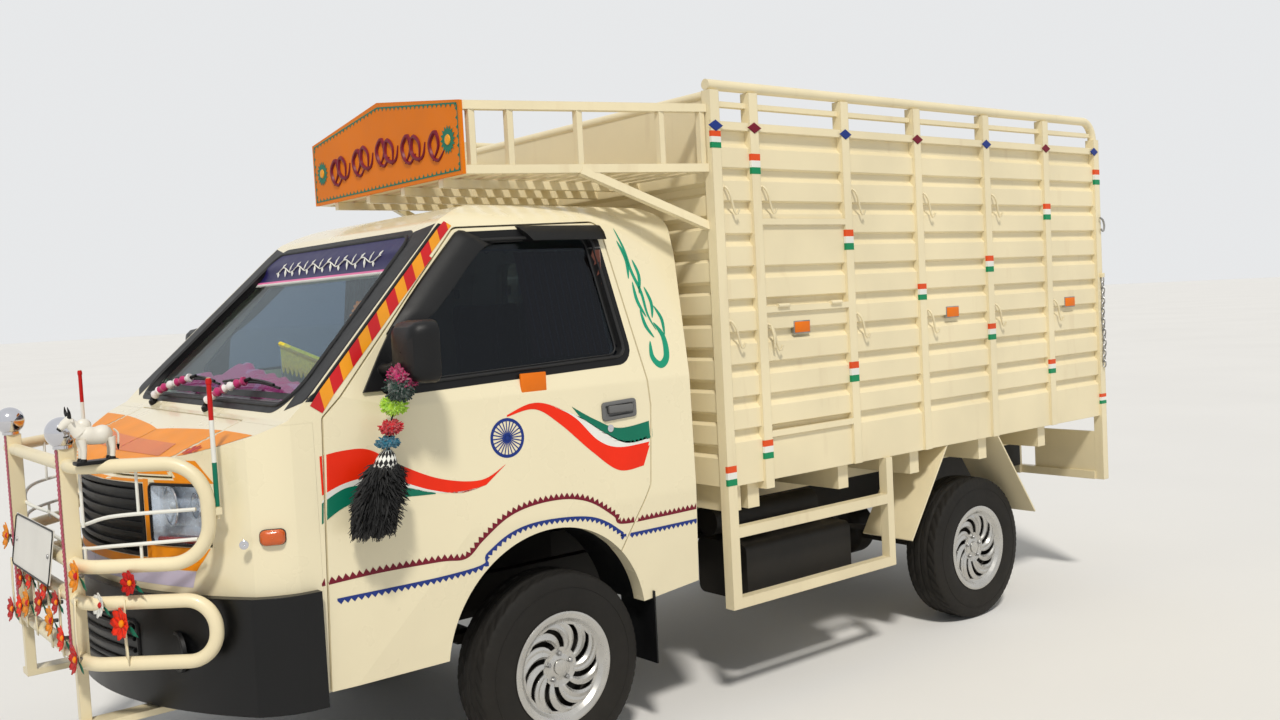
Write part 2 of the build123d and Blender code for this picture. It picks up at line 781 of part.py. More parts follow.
def post_hinge(z):
    """The post's two barrels and plates of one rear door hinge."""
    hinge = None
    for z0, z1 in ((z - 46, z - 15 - RUNNING_FIT), (z + 15 + RUNNING_FIT, z + 46)):
        barrel = rod((DOOR_PIN_X, DOOR_PIN_Y, z0), (DOOR_PIN_X, DOOR_PIN_Y, z1), HINGE_R)
        barrel += box(DOOR_PIN_X, BODY_HALF - 10, BODY_REAR, DOOR_PIN_Y - 2, z0, z1)
        hinge = barrel if hinge is None else hinge + barrel
    return hinge


def make_body_side():
    """One side of the load body: posts, ribbed bays, rails, the low side guard and door hinges."""
    outside = BODY_HALF
    inside = outside - POST_W
    half = POST_W / 2
    solids = []
    for index, y in enumerate(POST_YS[:-1]):
        solids.append(box(inside, outside, y - half, y + half, post_low(index), TOP_RAIL_Z - TOP_RAIL_R))
    rear_y = POST_YS[-1]
    rear_top = TOP_RAIL_Z - TOP_RAIL_BEND
    solids.append(box(inside, outside, rear_y - half, rear_y + half, post_low(len(POST_YS) - 1), rear_top))
    rail_x = outside - half
    path = FilletPolyline(
        (rail_x, POST_YS[0] - half, TOP_RAIL_Z), (rail_x, rear_y, TOP_RAIL_Z), (rail_x, rear_y, rear_top),
        radius=TOP_RAIL_BEND - 1)
    tube = sweep(Plane(origin=path @ 0, z_dir=path % 0) * Circle(TOP_RAIL_R), path=path)
    solids.append(tube)
    every = range(GROOVE_COUNT)
    for bay, (y0, y1) in enumerate(zip(POST_YS, POST_YS[1:])):
        y0, y1 = y0 + half, y1 - half
        grooves = [index for index in every if not (bay == FLAP_BAY and index == FLAP_PLAIN_GROOVE)]
        solids.append(side_sheet(y0, y1, grooves))
        solids.append(box(inside, outside - 5, y0, y1, BELT_RAIL_Z - BELT_RAIL_H, BELT_RAIL_Z))
        solids.append(fitted(box(inside, outside - 20, y0, y1, BELT_RAIL_Z + 55, BELT_RAIL_Z + 75), [tube]))
        if bay == FLAP_BAY:
            solids += [box(outside - SHEET_SET, outside, y0, y1, z - 12, z + 12) for z in FLAP_BARS]
    end = SIDE_GUARD_END
    solids.append(box(outside - 40, outside, end - 20, end + 20, SIDE_GUARD_LOW, BODY_LOW))
    for z in (SIDE_GUARD_LOW, SIDE_GUARD_UP):
        solids.append(box(outside - 40, outside, POST_YS[0] + half, end - 20, z, z + 40))
    for z in DOOR_HINGE_ZS:
        solids += list(post_hinge(z).solids())
    save("left_side", Compound(solids))
    save("right_side", Compound([mirrored(solid) for solid in solids]))


def make_headboard():
    inner = BODY_HALF - POST_W
    face_y = BODY_FRONT + 8
    points = [(BODY_FRONT + 40, 2285), (face_y, 2285)]
    for index in range(GROOVE_COUNT):
        middle = GROOVE_TOP_Z - 60 - GROOVE_PITCH * index
        points.append((face_y, middle + GROOVE_W))
        points.append((face_y + HEAD_GROOVE_DEPTH, middle + GROOVE_W / 2))
        points.append((face_y + HEAD_GROOVE_DEPTH, middle - GROOVE_W / 2))
        points.append((face_y, middle - GROOVE_W))
    points.append((face_y, BODY_LOW))
    points.append((BODY_FRONT + 40, BODY_LOW))
    sheet = side_prism(make_face(Polyline(*points, close=True)), inner)
    sheet += rod((-inner, BODY_FRONT + 22, 2285), (inner, BODY_FRONT + 22, 2285), TOP_RAIL_R)
    save("headboard", sheet)


def make_load_floor():
    inner = BODY_HALF - POST_W
    solids = [box(-inner, inner, BODY_FRONT + 40, BODY_REAR - 60, BODY_LOW, BODY_LOW + FLOOR_T)]
    for index, y in enumerate(POST_YS[:-1]):
        start = y + 20 if index == 0 else y - 80
        solids.append(box(-inner, inner, start, start + 60, BODY_LOW - BEARER_H, BODY_LOW))
    for side in (-1, 1):
        x = side * RAIL_X
        solids.append(box(x - 25, x + 25, BODY_FRONT + 40, RAIL_REAR, RAIL_TOP, BODY_LOW - BEARER_H))
    for x in GATE_HINGE_XS:
        for x0, x1 in ((x - 46, x - 15 - RUNNING_FIT), (x + 15 + RUNNING_FIT, x + 46)):
            barrel = rod((x0, GATE_PIN_Y, GATE_PIN_Z), (x1, GATE_PIN_Y, GATE_PIN_Z), HINGE_R)
            low = GATE_PIN_Z - HINGE_R
            solids.append(barrel + box(x0, x1, BODY_REAR - 60, GATE_PIN_Y, low, BODY_LOW + FLOOR_T - 2))
    save("load_floor", Compound(solids))


def rack_half(y):
    share = (y - RACK_FRONT) / (BODY_FRONT - RACK_FRONT)
    return RACK_HALF + (BODY_HALF - 20 - RACK_HALF) * share


def make_rack():
    """Two side frames that widen to the body, level joists and slats, and a brace each side."""
    tube = RACK_TUBE
    inside = box(-1000, 1000, RACK_FRONT, POST_YS[0] - POST_W / 2, 1500, 2400)
    front = (RACK_HALF - tube / 2, RACK_FRONT + tube / 2)
    back = (rack_half(BODY_FRONT) - tube / 2, BODY_FRONT)

    def along(share, z):
        return (front[0] + (back[0] - front[0]) * share, front[1] + (back[1] - front[1]) * share, z)

    left = []
    for z in (RACK_FLOOR_Z - tube / 2, RACK_TOP_Z - tube / 2):
        left.append(bar(along(-0.1, z), along(1.1, z), tube, tube) & inside)
    for share in RACK_POST_SHARES:
        x, y, z = along(share, RACK_FLOOR_Z)
        left.append(box(x - 12, x + 12, y - 12, y + 12, z, RACK_TOP_Z - tube) & inside)
    brace_top = (rack_half(BRACE_TOP_Y) - tube / 2, BRACE_TOP_Y, RACK_FLOOR_Z - 20)
    brace = bar((BODY_HALF - 40, BODY_FRONT + 30, BRACE_LOW_Z), brace_top, tube, tube)
    left.append(fitted(brace & inside, left[:1]))
    solids = left + [mirrored(piece) for piece in left]
    sides = list(solids)
    joist_top = RACK_FLOOR_Z - tube
    for x in RACK_JOIST_XS:
        solids.append(box(x - 15, x + 15, RACK_FRONT, BODY_FRONT + 8, joist_top - tube, joist_top))
    for index in range(RACK_SLATS):
        y = RACK_FRONT + 20 + index * (BODY_FRONT - RACK_FRONT - 50) / (RACK_SLATS - 1)
        half = rack_half(y) - 10
        slat = box(-half, half, y - 20, y + 20, RACK_FLOOR_Z - tube, RACK_FLOOR_Z - tube + 8)
        solids.append(fitted(slat, sides))
    save("roof_rack", Compound(solids))
    board = make_face(Polyline(
        (-RACK_HALF, RACK_FLOOR_Z - 30), (RACK_HALF, RACK_FLOOR_Z - 30), (RACK_HALF, RACK_TOP_Z),
        (0, SIGN_APEX_Z), (-RACK_HALF, RACK_TOP_Z), close=True))
    plane = Plane(origin=(0, RACK_FRONT, 0), x_dir=(1, 0, 0), z_dir=(0, -1, 0))
    save("sign_board", extrude(plane * board, SIGN_T))


def guard_loop(low, top, end_radius):
    """A closed tube that wraps round the nose, with round ends."""
    bends = ((-GUARD_BEND_X, GUARD_Y), (GUARD_BEND_X, GUARD_Y))
    plan = ((-GUARD_HALF, GUARD_END_Y), *bends, (GUARD_HALF, GUARD_END_Y))
    points = [(x, y, top) for x, y in plan] + [(x, y, low) for x, y in reversed(plan)]
    radii = [end_radius, 120, 120, end_radius, end_radius, 120, 120, end_radius]
    path = FilletPolyline(*points, radius=radii, close=True)
    start = path @ 0
    plane = Plane(origin=start, z_dir=path % 0)
    return sweep(plane * Circle(GUARD_R), path=path)


def make_front_guard():
    """Two tube loops carried on two posts, whose arms reach back under the bumper to the rails."""
    x0, x1 = GUARD_POST_X - 20, GUARD_POST_X + 20
    post = box(x0, x1, GUARD_Y - GUARD_R - 2, GUARD_Y + GUARD_R + 2, GUARD_POST_LOW, GUARD_POST_TOP)
    arm_top = GUARD_ARM_Z + GUARD_ARM_T
    arm_rear = RAIL_FRONT + 80
    left = [
        post,
        box(x0 + 5, x1 - 5, GUARD_Y - 15, GUARD_Y + 15, arm_top, GUARD_POST_LOW),
        box(x0 + 5, RAIL_X + 20, GUARD_Y - 15, arm_rear, GUARD_ARM_Z, arm_top),
        box(x0 + 5, RAIL_X + 20, arm_rear - 60, arm_rear, arm_top, FRONT_RAIL_LOW),
    ]
    save("front_guard", Compound(left + [mirrored(piece) for piece in left]))
    tubes = []
    plate_y = GUARD_Y - GUARD_R - 3
    plate = bar((0, plate_y, PLATE_TOP_Z), (0, plate_y - PLATE_LEAN, PLATE_LOW_Z), PLATE_WIDTH, PLATE_T)
    for low, top, end_radius in GUARD_LOOPS:
        loop = guard_loop(low, top, end_radius) - both_sides(post)
        tubes += list(loop.solids())
    tab_z = GUARD_LOOPS[0][0]
    for x in (-150, 150):
        tab = box(x - 14, x + 14, GUARD_Y - 80, GUARD_Y, tab_z - 8, tab_z + 8) - plate
        tab = max(tab.solids(), key=lambda solid: solid.center().Y)
        tubes.append(fitted(tab, tubes))
    save("guard_loops", Compound(tubes))
    save("number_plate", plate)
    ball = Pos(GUARD_POST_X, GUARD_Y - 5, GUARD_POST_TOP + BALL_R - 5) * Sphere(BALL_R)
    ball -= box(0, 1000, GUARD_Y - 100, GUARD_Y + 100, GUARD_POST_TOP - 50, GUARD_POST_TOP)
    save("guard_balls", both_sides(ball))
    pole_y = GUARD_END_Y + GUARD_R + POLE_R
    pole = rod((GUARD_HALF, pole_y, 1000), (GUARD_HALF, pole_y, 1400), POLE_R)
    clamp = box(GUARD_HALF - 12, GUARD_HALF + 12, GUARD_END_Y, pole_y + POLE_R + 3, 1012, 1032)
    pole = fitted(pole + clamp, [solid for solid in tubes if solid.center().X > 0])
    save("guide_poles", both_sides(pole))


def make_rear_frame():
    inner = BODY_HALF - POST_W
    beam_y = BODY_REAR - 55
    beam = box(-inner, inner, beam_y, beam_y + 40, REAR_BEAM_LOW, REAR_BEAM_LOW + 40)
    panel = box(480, inner, beam_y + 10, beam_y + 22, REAR_BEAM_LOW + 40, REAR_BEAM_LOW + 245)
    hanger = box(RAIL_X - 20, RAIL_X + 20, RAIL_REAR, beam_y, REAR_BEAM_LOW, RAIL_TOP)
    solids = [beam, panel, mirrored(panel), hanger, mirrored(hanger)]
    save("rear_bumper", Compound(solids))
    lamp = box(560, 780, beam_y + 22, beam_y + 45, 610, 700)
    save("tail_lamps", both_sides(lamp))


def make_mudguards():
    """Slanted sheets before and behind each rear wheel, hung from the load body's floor."""
    flaps = []
    below = box(-1000, 1000, 0, 4000, 0, BODY_LOW)
    for start_y, end_y, end_z in ((2058, 1790, 461), (2440, 2723, 445)):
        run = (end_y - start_y) / (BODY_LOW - end_z)
        top_y = start_y - run * 50
        sheet = bar((720, top_y, BODY_LOW + 50), (720, end_y, end_z), 270, 8) & below
        flaps += [sheet, mirrored(sheet)]
    save("mudguards", Compound(flaps))


def ribbed_panel(x0, x1, z0, z1):
    """A rear door or gate: a square tube frame round a sheet with level ribs."""
    outer_y = BODY_REAR - 10
    inner_y = outer_y - 40
    rim = 40
    frame = box(x0, x1, inner_y, outer_y, z0, z1)
    frame -= box(x0 + rim, x1 - rim, inner_y - 1, outer_y + 1, z0 + rim, z1 - rim)
    panel = frame + box(x0 + rim, x1 - rim, inner_y, outer_y - 12, z0 + rim, z1 - rim)
    count = int((z1 - z0 - 2 * rim) / GROOVE_PITCH)
    pitch = (z1 - z0 - 2 * rim) / count
    for index in range(count):
        z = z0 + rim + pitch * (index + 0.5)
        low = ((outer_y - 12, z - 38), (outer_y - 2, z - 28))
        high = ((outer_y - 2, z + 28), (outer_y - 12, z + 38))
        rib = make_face(Polyline(*low, *high, close=True))
        plane = Plane(origin=(x0 + rim, 0, 0), x_dir=(0, 1, 0), z_dir=(1, 0, 0))
        panel += extrude(plane * rib, x1 - x0 - 2 * rim)
    return panel


def make_rear_doors():
    """The drop gate and the two doors above it, each with its half of the hinges."""
    outer_y = BODY_REAR - 10
    inner_x = BODY_HALF - POST_W - SEAM
    gate = ribbed_panel(-inner_x, inner_x, BODY_LOW + FLOOR_T + SEAM, TAILGATE_TOP)
    for x in GATE_HINGE_XS:
        gate += rod((x - 15, GATE_PIN_Y, GATE_PIN_Z), (x + 15, GATE_PIN_Y, GATE_PIN_Z), HINGE_R)
        gate += box(x - 15, x + 15, outer_y - 4, GATE_PIN_Y + HINGE_R - 3, GATE_PIN_Z + 4, GATE_PIN_Z + 40)
    save("tailgate", gate)
    door = ribbed_panel(SEAM / 2, inner_x, TAILGATE_TOP + 10, BELT_RAIL_Z - 20)
    for z in DOOR_HINGE_ZS:
        door += rod((DOOR_PIN_X, DOOR_PIN_Y, z - 15), (DOOR_PIN_X, DOOR_PIN_Y, z + 15), HINGE_R)
        door += box(DOOR_PIN_X - 40, DOOR_PIN_X - 4, outer_y - 4, DOOR_PIN_Y + HINGE_R - 3, z - 15, z + 15)
    save("left_rear_door", door)
    save("right_rear_door", mirrored(door))


def make_mirrors():
    arm = rod((775, -600, 1330), (880, -600, 1380), 10)
    housing = box(850, 1010, -640, -590, 1330, 1530)
    housing = fillet(housing.edges().filter_by(Axis.Y), 20)
    one = largest(arm + housing - pieces["left_door"] - pieces["left_door_glass"])
    save("left_mirror", one)
    save("right_mirror", mirrored(one))


make_cab()
make_arch_liners()
make_seats_and_dash()
make_steering_wheel()
make_chassis()
make_axles()
make_front_axle()
make_springs()
make_drive()
make_under_body()
make_wheels()
make_body_side()
make_headboard()
make_load_floor()
make_rack()
make_front_guard()
make_rear_frame()
make_mudguards()
make_rear_doors()
make_mirrors()

os.makedirs("parts", exist_ok=True)
for name, shape in pieces.items():
    export_step(Pos(0, -MIDDLE_Y, 0) * shape, f"parts/{name}.step")
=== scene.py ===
"""Looks of a decorated light goods truck, built round its packed construction.

Metres; X is the truck's left, Y its rear, Z up. "Along" means metres behind the front axle."""
import json
import math
import random

import bmesh
import bpy
from mathutils import Matrix, Vector
from mathutils.bvhtree import BVHTree


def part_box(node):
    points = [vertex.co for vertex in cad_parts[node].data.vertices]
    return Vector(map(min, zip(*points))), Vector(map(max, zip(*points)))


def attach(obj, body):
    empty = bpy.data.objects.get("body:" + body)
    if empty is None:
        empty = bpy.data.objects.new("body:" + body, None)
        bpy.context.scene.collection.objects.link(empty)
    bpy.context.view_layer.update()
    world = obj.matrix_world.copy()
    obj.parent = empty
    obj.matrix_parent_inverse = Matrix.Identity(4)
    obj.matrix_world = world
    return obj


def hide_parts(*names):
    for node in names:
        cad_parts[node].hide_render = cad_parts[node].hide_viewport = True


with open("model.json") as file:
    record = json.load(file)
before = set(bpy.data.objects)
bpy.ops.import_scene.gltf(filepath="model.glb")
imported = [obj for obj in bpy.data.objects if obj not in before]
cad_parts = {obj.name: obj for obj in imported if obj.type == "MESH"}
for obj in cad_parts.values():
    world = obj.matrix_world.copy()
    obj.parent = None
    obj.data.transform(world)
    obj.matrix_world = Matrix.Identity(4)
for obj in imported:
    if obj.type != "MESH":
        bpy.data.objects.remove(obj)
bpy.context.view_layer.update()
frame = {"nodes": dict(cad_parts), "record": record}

# The front axle's place in the row frame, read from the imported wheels
AXLE_Y = (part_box("front_left_tyre")[0][1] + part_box("front_left_tyre")[1][1]) / 2
BODIES = frame["record"]["behaviour"]["bodies"]
NODE_BODY = {node: body for body, nodes in BODIES.items() for node in nodes}
SIDES = (("left", 1), ("right", -1))
AHEAD = Vector((0, -1, 0))
BEHIND = Vector((0, 1, 0))
OUTWARD = Vector((1, 0, 0))
UP = Vector((0, 0, 1))
DOWN = Vector((0, 0, -1))
chance = random.Random(7)


def at(x, along, z):
    return Vector((x, along + AXLE_Y, z))


def new_object(name, data):
    thing = bpy.data.objects.new(name, data)
    bpy.context.scene.collection.objects.link(thing)
    return thing


# Camera, fitted to the photograph: its place is given from the front axle
PHOTO_WIDTH = 1280
FOCAL_PIXELS = 1173.7
SENSOR = 36.0
CAMERA_PLACE = (4.023, -2.211, 1.561)
CAMERA_YAW = 0.892
CAMERA_PITCH = -0.053
CAMERA_ROLL = -0.052


def add_camera():
    data = bpy.data.cameras.new("camera")
    data.sensor_width = SENSOR
    data.lens = FOCAL_PIXELS * SENSOR / PHOTO_WIDTH
    data.clip_end = 400
    camera = new_object("camera", data)
    forward = Vector((
        -math.sin(CAMERA_YAW) * math.cos(CAMERA_PITCH),
        math.cos(CAMERA_YAW) * math.cos(CAMERA_PITCH),
        math.sin(CAMERA_PITCH),
    ))
    level = Vector((math.cos(CAMERA_YAW), math.sin(CAMERA_YAW), 0))
    above = level.cross(forward)
    right = level * math.cos(CAMERA_ROLL) + above * math.sin(CAMERA_ROLL)
    up = above * math.cos(CAMERA_ROLL) - level * math.sin(CAMERA_ROLL)
    turn = Matrix((right, up, -forward)).transposed().to_4x4()
    camera.matrix_world = Matrix.Translation(at(*CAMERA_PLACE)) @ turn
    bpy.context.scene.camera = camera


# Light and floor
SKY_COLOUR = (0.94, 0.97, 1.0, 1)
SKY_LEVEL = 0.44
BACKDROP = (0.80, 0.81, 0.82, 1)
SUN_COLOUR = (1.0, 0.96, 0.89)
SUN_LEVEL = 2.45
SUN_FROM = (0.62, -0.42, 0.95)
SUN_SPREAD = math.radians(7)
FLOOR_REACH = 150
FLOOR_COLOUR = (0.90, 0.895, 0.885)


def add_sky():
    """A soft sky that gives light, and the plain backdrop that is seen, mirrored or shows through glass."""
    world = bpy.data.worlds.new("studio")
    bpy.context.scene.world = world
    world.use_nodes = True
    nodes = world.node_tree.nodes
    link = world.node_tree.links.new
    sky = nodes["Background"]
    sky.inputs["Color"].default_value = SKY_COLOUR
    sky.inputs["Strength"].default_value = SKY_LEVEL
    backdrop = nodes.new("ShaderNodeBackground")
    backdrop.inputs["Color"].default_value = BACKDROP
    path = nodes.new("ShaderNodeLightPath")
    shown = path.outputs["Is Camera Ray"]
    for ray in ("Is Glossy Ray", "Is Transmission Ray"):
        either = nodes.new("ShaderNodeMath")
        either.operation = "MAXIMUM"
        link(shown, either.inputs[0])
        link(path.outputs[ray], either.inputs[1])
        shown = either.outputs["Value"]
    mix = nodes.new("ShaderNodeMixShader")
    link(shown, mix.inputs["Fac"])
    link(sky.outputs["Background"], mix.inputs[1])
    link(backdrop.outputs["Background"], mix.inputs[2])
    link(mix.outputs["Shader"], nodes["World Output"].inputs["Surface"])


def add_sun_and_floor():
    data = bpy.data.lights.new("sun", "SUN")
    data.energy = SUN_LEVEL
    data.angle = SUN_SPREAD
    data.color = SUN_COLOUR
    sun = new_object("sun", data)
    sun.rotation_euler = (-Vector(SUN_FROM)).to_track_quat("-Z", "Y").to_euler()
    corners = [(x * FLOOR_REACH, y * FLOOR_REACH, 0) for x, y in ((-1, -1), (1, -1), (1, 1), (-1, 1))]
    mesh = bpy.data.meshes.new("floor")
    mesh.from_pydata(corners, [], [(0, 1, 2, 3)])
    floor = new_object("floor", mesh)
    mesh.materials.append(surface("floor_paint", FLOOR_COLOUR, 0.85, uneven=0.02, scale=0.4))


# Materials
MATERIALS = {}
BLACK = (0, 0, 0)
WHITE = (1, 1, 1)
DUST = (0.62, 0.55, 0.44)
DUST_LOW = 0.1
DUST_HIGH = 1.0
RUST = (0.72, 0.60, 0.44)
GLASS_MIRROR = (0.85, 0.9, 0.95, 1)


def linear(colour):
    """An sRGB colour in 0 to 1, as linear light."""
    return tuple(c / 12.92 if c <= 0.04045 else ((c + 0.055) / 1.055) ** 2.4 for c in colour)


class Nodes:
    """Short words for building one material's node tree."""

    def __init__(self, name):
        self.material = bpy.data.materials.new(name)
        self.material.use_nodes = True
        self.tree = self.material.node_tree
        self.shader = self.tree.nodes["Principled BSDF"]
        MATERIALS[name] = self.material

    def new(self, kind, **inputs):
        node = self.tree.nodes.new("ShaderNode" + kind)
        for name, value in inputs.items():
            self.give(node, name.replace("_", " "), value)
        return node

    def give(self, node, socket, value):
        if isinstance(value, bpy.types.NodeSocket):
            self.tree.links.new(value, node.inputs[socket])
        else:
            node.inputs[socket].default_value = value

    def set(self, **inputs):
        for name, value in inputs.items():
            self.give(self.shader, name.replace("_", " "), value)

    def math(self, operation, first, second=0.0):
        node = self.new("Math")
        node.operation = operation
        self.give(node, 0, first)
        self.give(node, 1, second)
        return node.outputs["Value"]

    def span(self, value, low, high, start=0.0, end=1.0):
        """A value between start and end, carried over to between low and high."""
        node = self.new("MapRange", Value=value, From_Min=start, From_Max=end, To_Min=low, To_Max=high)
        return node.outputs["Result"]

    def ramp(self, value, stops, constant=False):
        node = self.new("ValToRGB", Fac=value)
        stack = node.color_ramp
        stack.interpolation = "CONSTANT" if constant else "LINEAR"
        while len(stack.elements) < len(stops):
            stack.elements.new(0.5)
        for element, (place, colour) in zip(stack.elements, stops):
            element.position = place
            element.color = (*colour, 1)
        return node.outputs["Color"]

    def mix(self, share, first, second, blend="MIX"):
        node = self.new("Mix")
        node.data_type = "RGBA"
        node.blend_type = blend
        self.give(node, 0, share)
        self.give(node, 6, first)
        self.give(node, 7, second)
        return node.outputs[2]

    def place(self, kind):
        return self.new("TexCoord").outputs[kind]

    def noise(self, scale, detail=3.0, stretch=None):
        place = self.place("Object")
        if stretch:
            place = self.new("Mapping", Vector=place, Scale=stretch).outputs["Vector"]
        return self.new("TexNoise", Vector=place, Scale=scale, Detail=detail).outputs["Fac"]

    def relief(self, strength, distance, height, normal=None):
        node = self.new("Bump", Strength=strength, Distance=distance, Height=height)
        if normal:
            self.give(node, "Normal", normal)
        return node.outputs["Normal"]


def surface(name, colour, roughness, metallic=0.0, coat=0.0, uneven=0.06, scale=3.0, bump=0.0,
            grain=200.0, edge=0.0, dust=0.0, sheen=0.0, base=None, shine=0.5):
    """A finished surface: uneven colour and gloss, a fine grain, rounded edges, dust low down."""
    n = Nodes(name)
    n.set(Metallic=metallic, Coat_Weight=coat, Coat_Roughness=0.08, Sheen_Weight=sheen,
          Specular_IOR_Level=shine)
    light = linear(colour)
    low = tuple(c * (1 - uneven) for c in light)
    high = tuple(min(1, c * (1 + uneven * 0.5)) for c in light)
    shade = n.ramp(n.noise(scale, 5.0), ((0.35, low), (0.65, high)))
    if base:
        shade = base(n, shade)
    if dust:
        height = n.new("SeparateXYZ", Vector=n.place("Object")).outputs["Z"]
        fade = n.span(height, dust, 0.0, DUST_LOW, DUST_HIGH)
        spots = n.math("MULTIPLY", fade, n.math("ADD", n.noise(7.0, 6.0), 0.35))
        shade = n.mix(spots, shade, (*linear(DUST), 1))
    gloss = n.span(n.noise(scale * 4, 4.0), max(0.02, roughness - 0.07), min(1, roughness + 0.09))
    n.set(Base_Color=shade, Roughness=gloss)
    normal = None
    if edge:
        bevel = n.new("Bevel", Radius=edge)
        bevel.samples = 3
        normal = bevel.outputs["Normal"]
    if bump:
        normal = n.relief(bump, 0.002, n.noise(grain), normal)
    if normal:
        n.set(Normal=normal)
    return n.material


def clear(name, tint, shine):
    """Tinted glass: what is behind shows through, and its surface mirrors more at a slant."""
    n = Nodes(name)
    n.set(Base_Color=GLASS_MIRROR, Roughness=n.span(n.noise(5.0, 6.0), 0.02, 0.06), Metallic=1.0)
    veil = n.new("BsdfTransparent", Color=(*linear(tint), 1))
    slant = n.new("LayerWeight", Blend=0.5).outputs["Facing"]
    mirror = n.math("ADD", n.math("MULTIPLY", n.math("POWER", slant, 4.0), shine), 0.02)
    mix = n.new("MixShader")
    for socket, value in enumerate((mirror, veil.outputs["BSDF"], n.shader.outputs["BSDF"])):
        n.give(mix, socket, value)
    n.give(n.tree.nodes["Material Output"], "Surface", mix.outputs["Shader"])


def banded(name, colours, pitch, slant=0.0, roughness=0.4, sheen=0.0):
    """Bands of colour along a piece's own length, straight or slanted."""
    n = Nodes(name)
    place = n.new("SeparateXYZ", Vector=n.place("UV")).outputs
    shifted = n.math("ADD", place["X"], n.math("MULTIPLY", place["Y"], slant))
    share = n.math("FRACT", n.math("MULTIPLY", shifted, 1 / pitch))
    stops = [(index / len(colours), linear(colour)) for index, colour in enumerate(colours)]
    shade = n.ramp(share, stops, constant=True)
    worn = n.ramp(n.noise(9.0, 5.0), ((0.3, (0.82, 0.82, 0.82)), (0.7, WHITE)))
    n.set(Base_Color=n.mix(1.0, shade, worn, "MULTIPLY"), Roughness=roughness, Sheen_Weight=sheen)


def woven(name, colour, second, pitch=0.0008, print_scale=0.0, third=None):
    """Cloth with crossing threads, and where wanted a small scattered print."""
    n = Nodes(name)
    place = n.place("UV")
    waves = []
    for direction in ("X", "Y"):
        wave = n.new("TexWave", Vector=place, Scale=0.05 / pitch)
        wave.bands_direction = direction
        waves.append(wave.outputs["Fac"])
    cloud = n.math("MULTIPLY_ADD", n.noise(25.0, 5.0), 1.0)
    shade = n.ramp(cloud, ((0.3, linear(colour)), (0.7, linear(second))))
    if print_scale:
        cells = n.new("TexVoronoi", Vector=place, Scale=print_scale)
        petals = n.ramp(cells.outputs["Distance"], ((0.0, WHITE), (0.32, BLACK)), constant=True)
        shade = n.mix(petals, shade, (*linear(third), 1))
    threads = n.relief(0.5, 0.0006, n.math("MULTIPLY", *waves))
    n.set(Base_Color=shade, Roughness=0.9, Sheen_Weight=0.4, Normal=threads)


def worn_steel(n, shade):
    """A little rust streaked down from joints."""
    streaks = n.ramp(n.noise(2.2, 7.0, (6, 6, 0.8)), ((0.60, BLACK), (0.78, (0.22, 0.22, 0.22))))
    return n.mix(streaks, shade, (*linear(RUST), 1))


PAINTS = {
    "orange_paint": (0.93, 0.17, 0.03),
    "band_orange": (0.87, 0.31, 0.12),
    "band_green": (0.04, 0.53, 0.34),
    "hood_amber": (0.93, 0.56, 0.03),
    "green_paint": (0.03, 0.44, 0.34),
    "strip_blue": (0.12, 0.10, 0.30),
    "crimson_paint": (0.66, 0.05, 0.22),
    "white_paint": (0.90, 0.90, 0.87),
    "maroon_paint": (0.45, 0.05, 0.15),
    "red_paint": (0.74, 0.09, 0.08),
    "blue_paint": (0.10, 0.20, 0.50),
    "teal_paint": (0.10, 0.58, 0.45),
    "amber_paint": (0.93, 0.62, 0.10),
    "lavender_paint": (0.80, 0.77, 0.86),
    "black_paint": (0.05, 0.05, 0.055),
    "pink_paint": (0.86, 0.42, 0.62),
    "grey_paint": (0.42, 0.42, 0.42),
}
WOOLS = {
    "red_wool": (0.80, 0.03, 0.12),
    "teal_wool": (0.04, 0.42, 0.52),
    "lime_wool": (0.72, 0.90, 0.22),
    "magenta_wool": (0.70, 0.04, 0.36),
    "green_wool": (0.03, 0.20, 0.15),
}
GLASSES = {
    "glass": ((0.88, 0.93, 0.94), 0.36),
    "dark_glass": ((0.60, 0.64, 0.70), 0.5),
    "lamp_glass": ((0.97, 0.98, 0.99), 0.3),
}


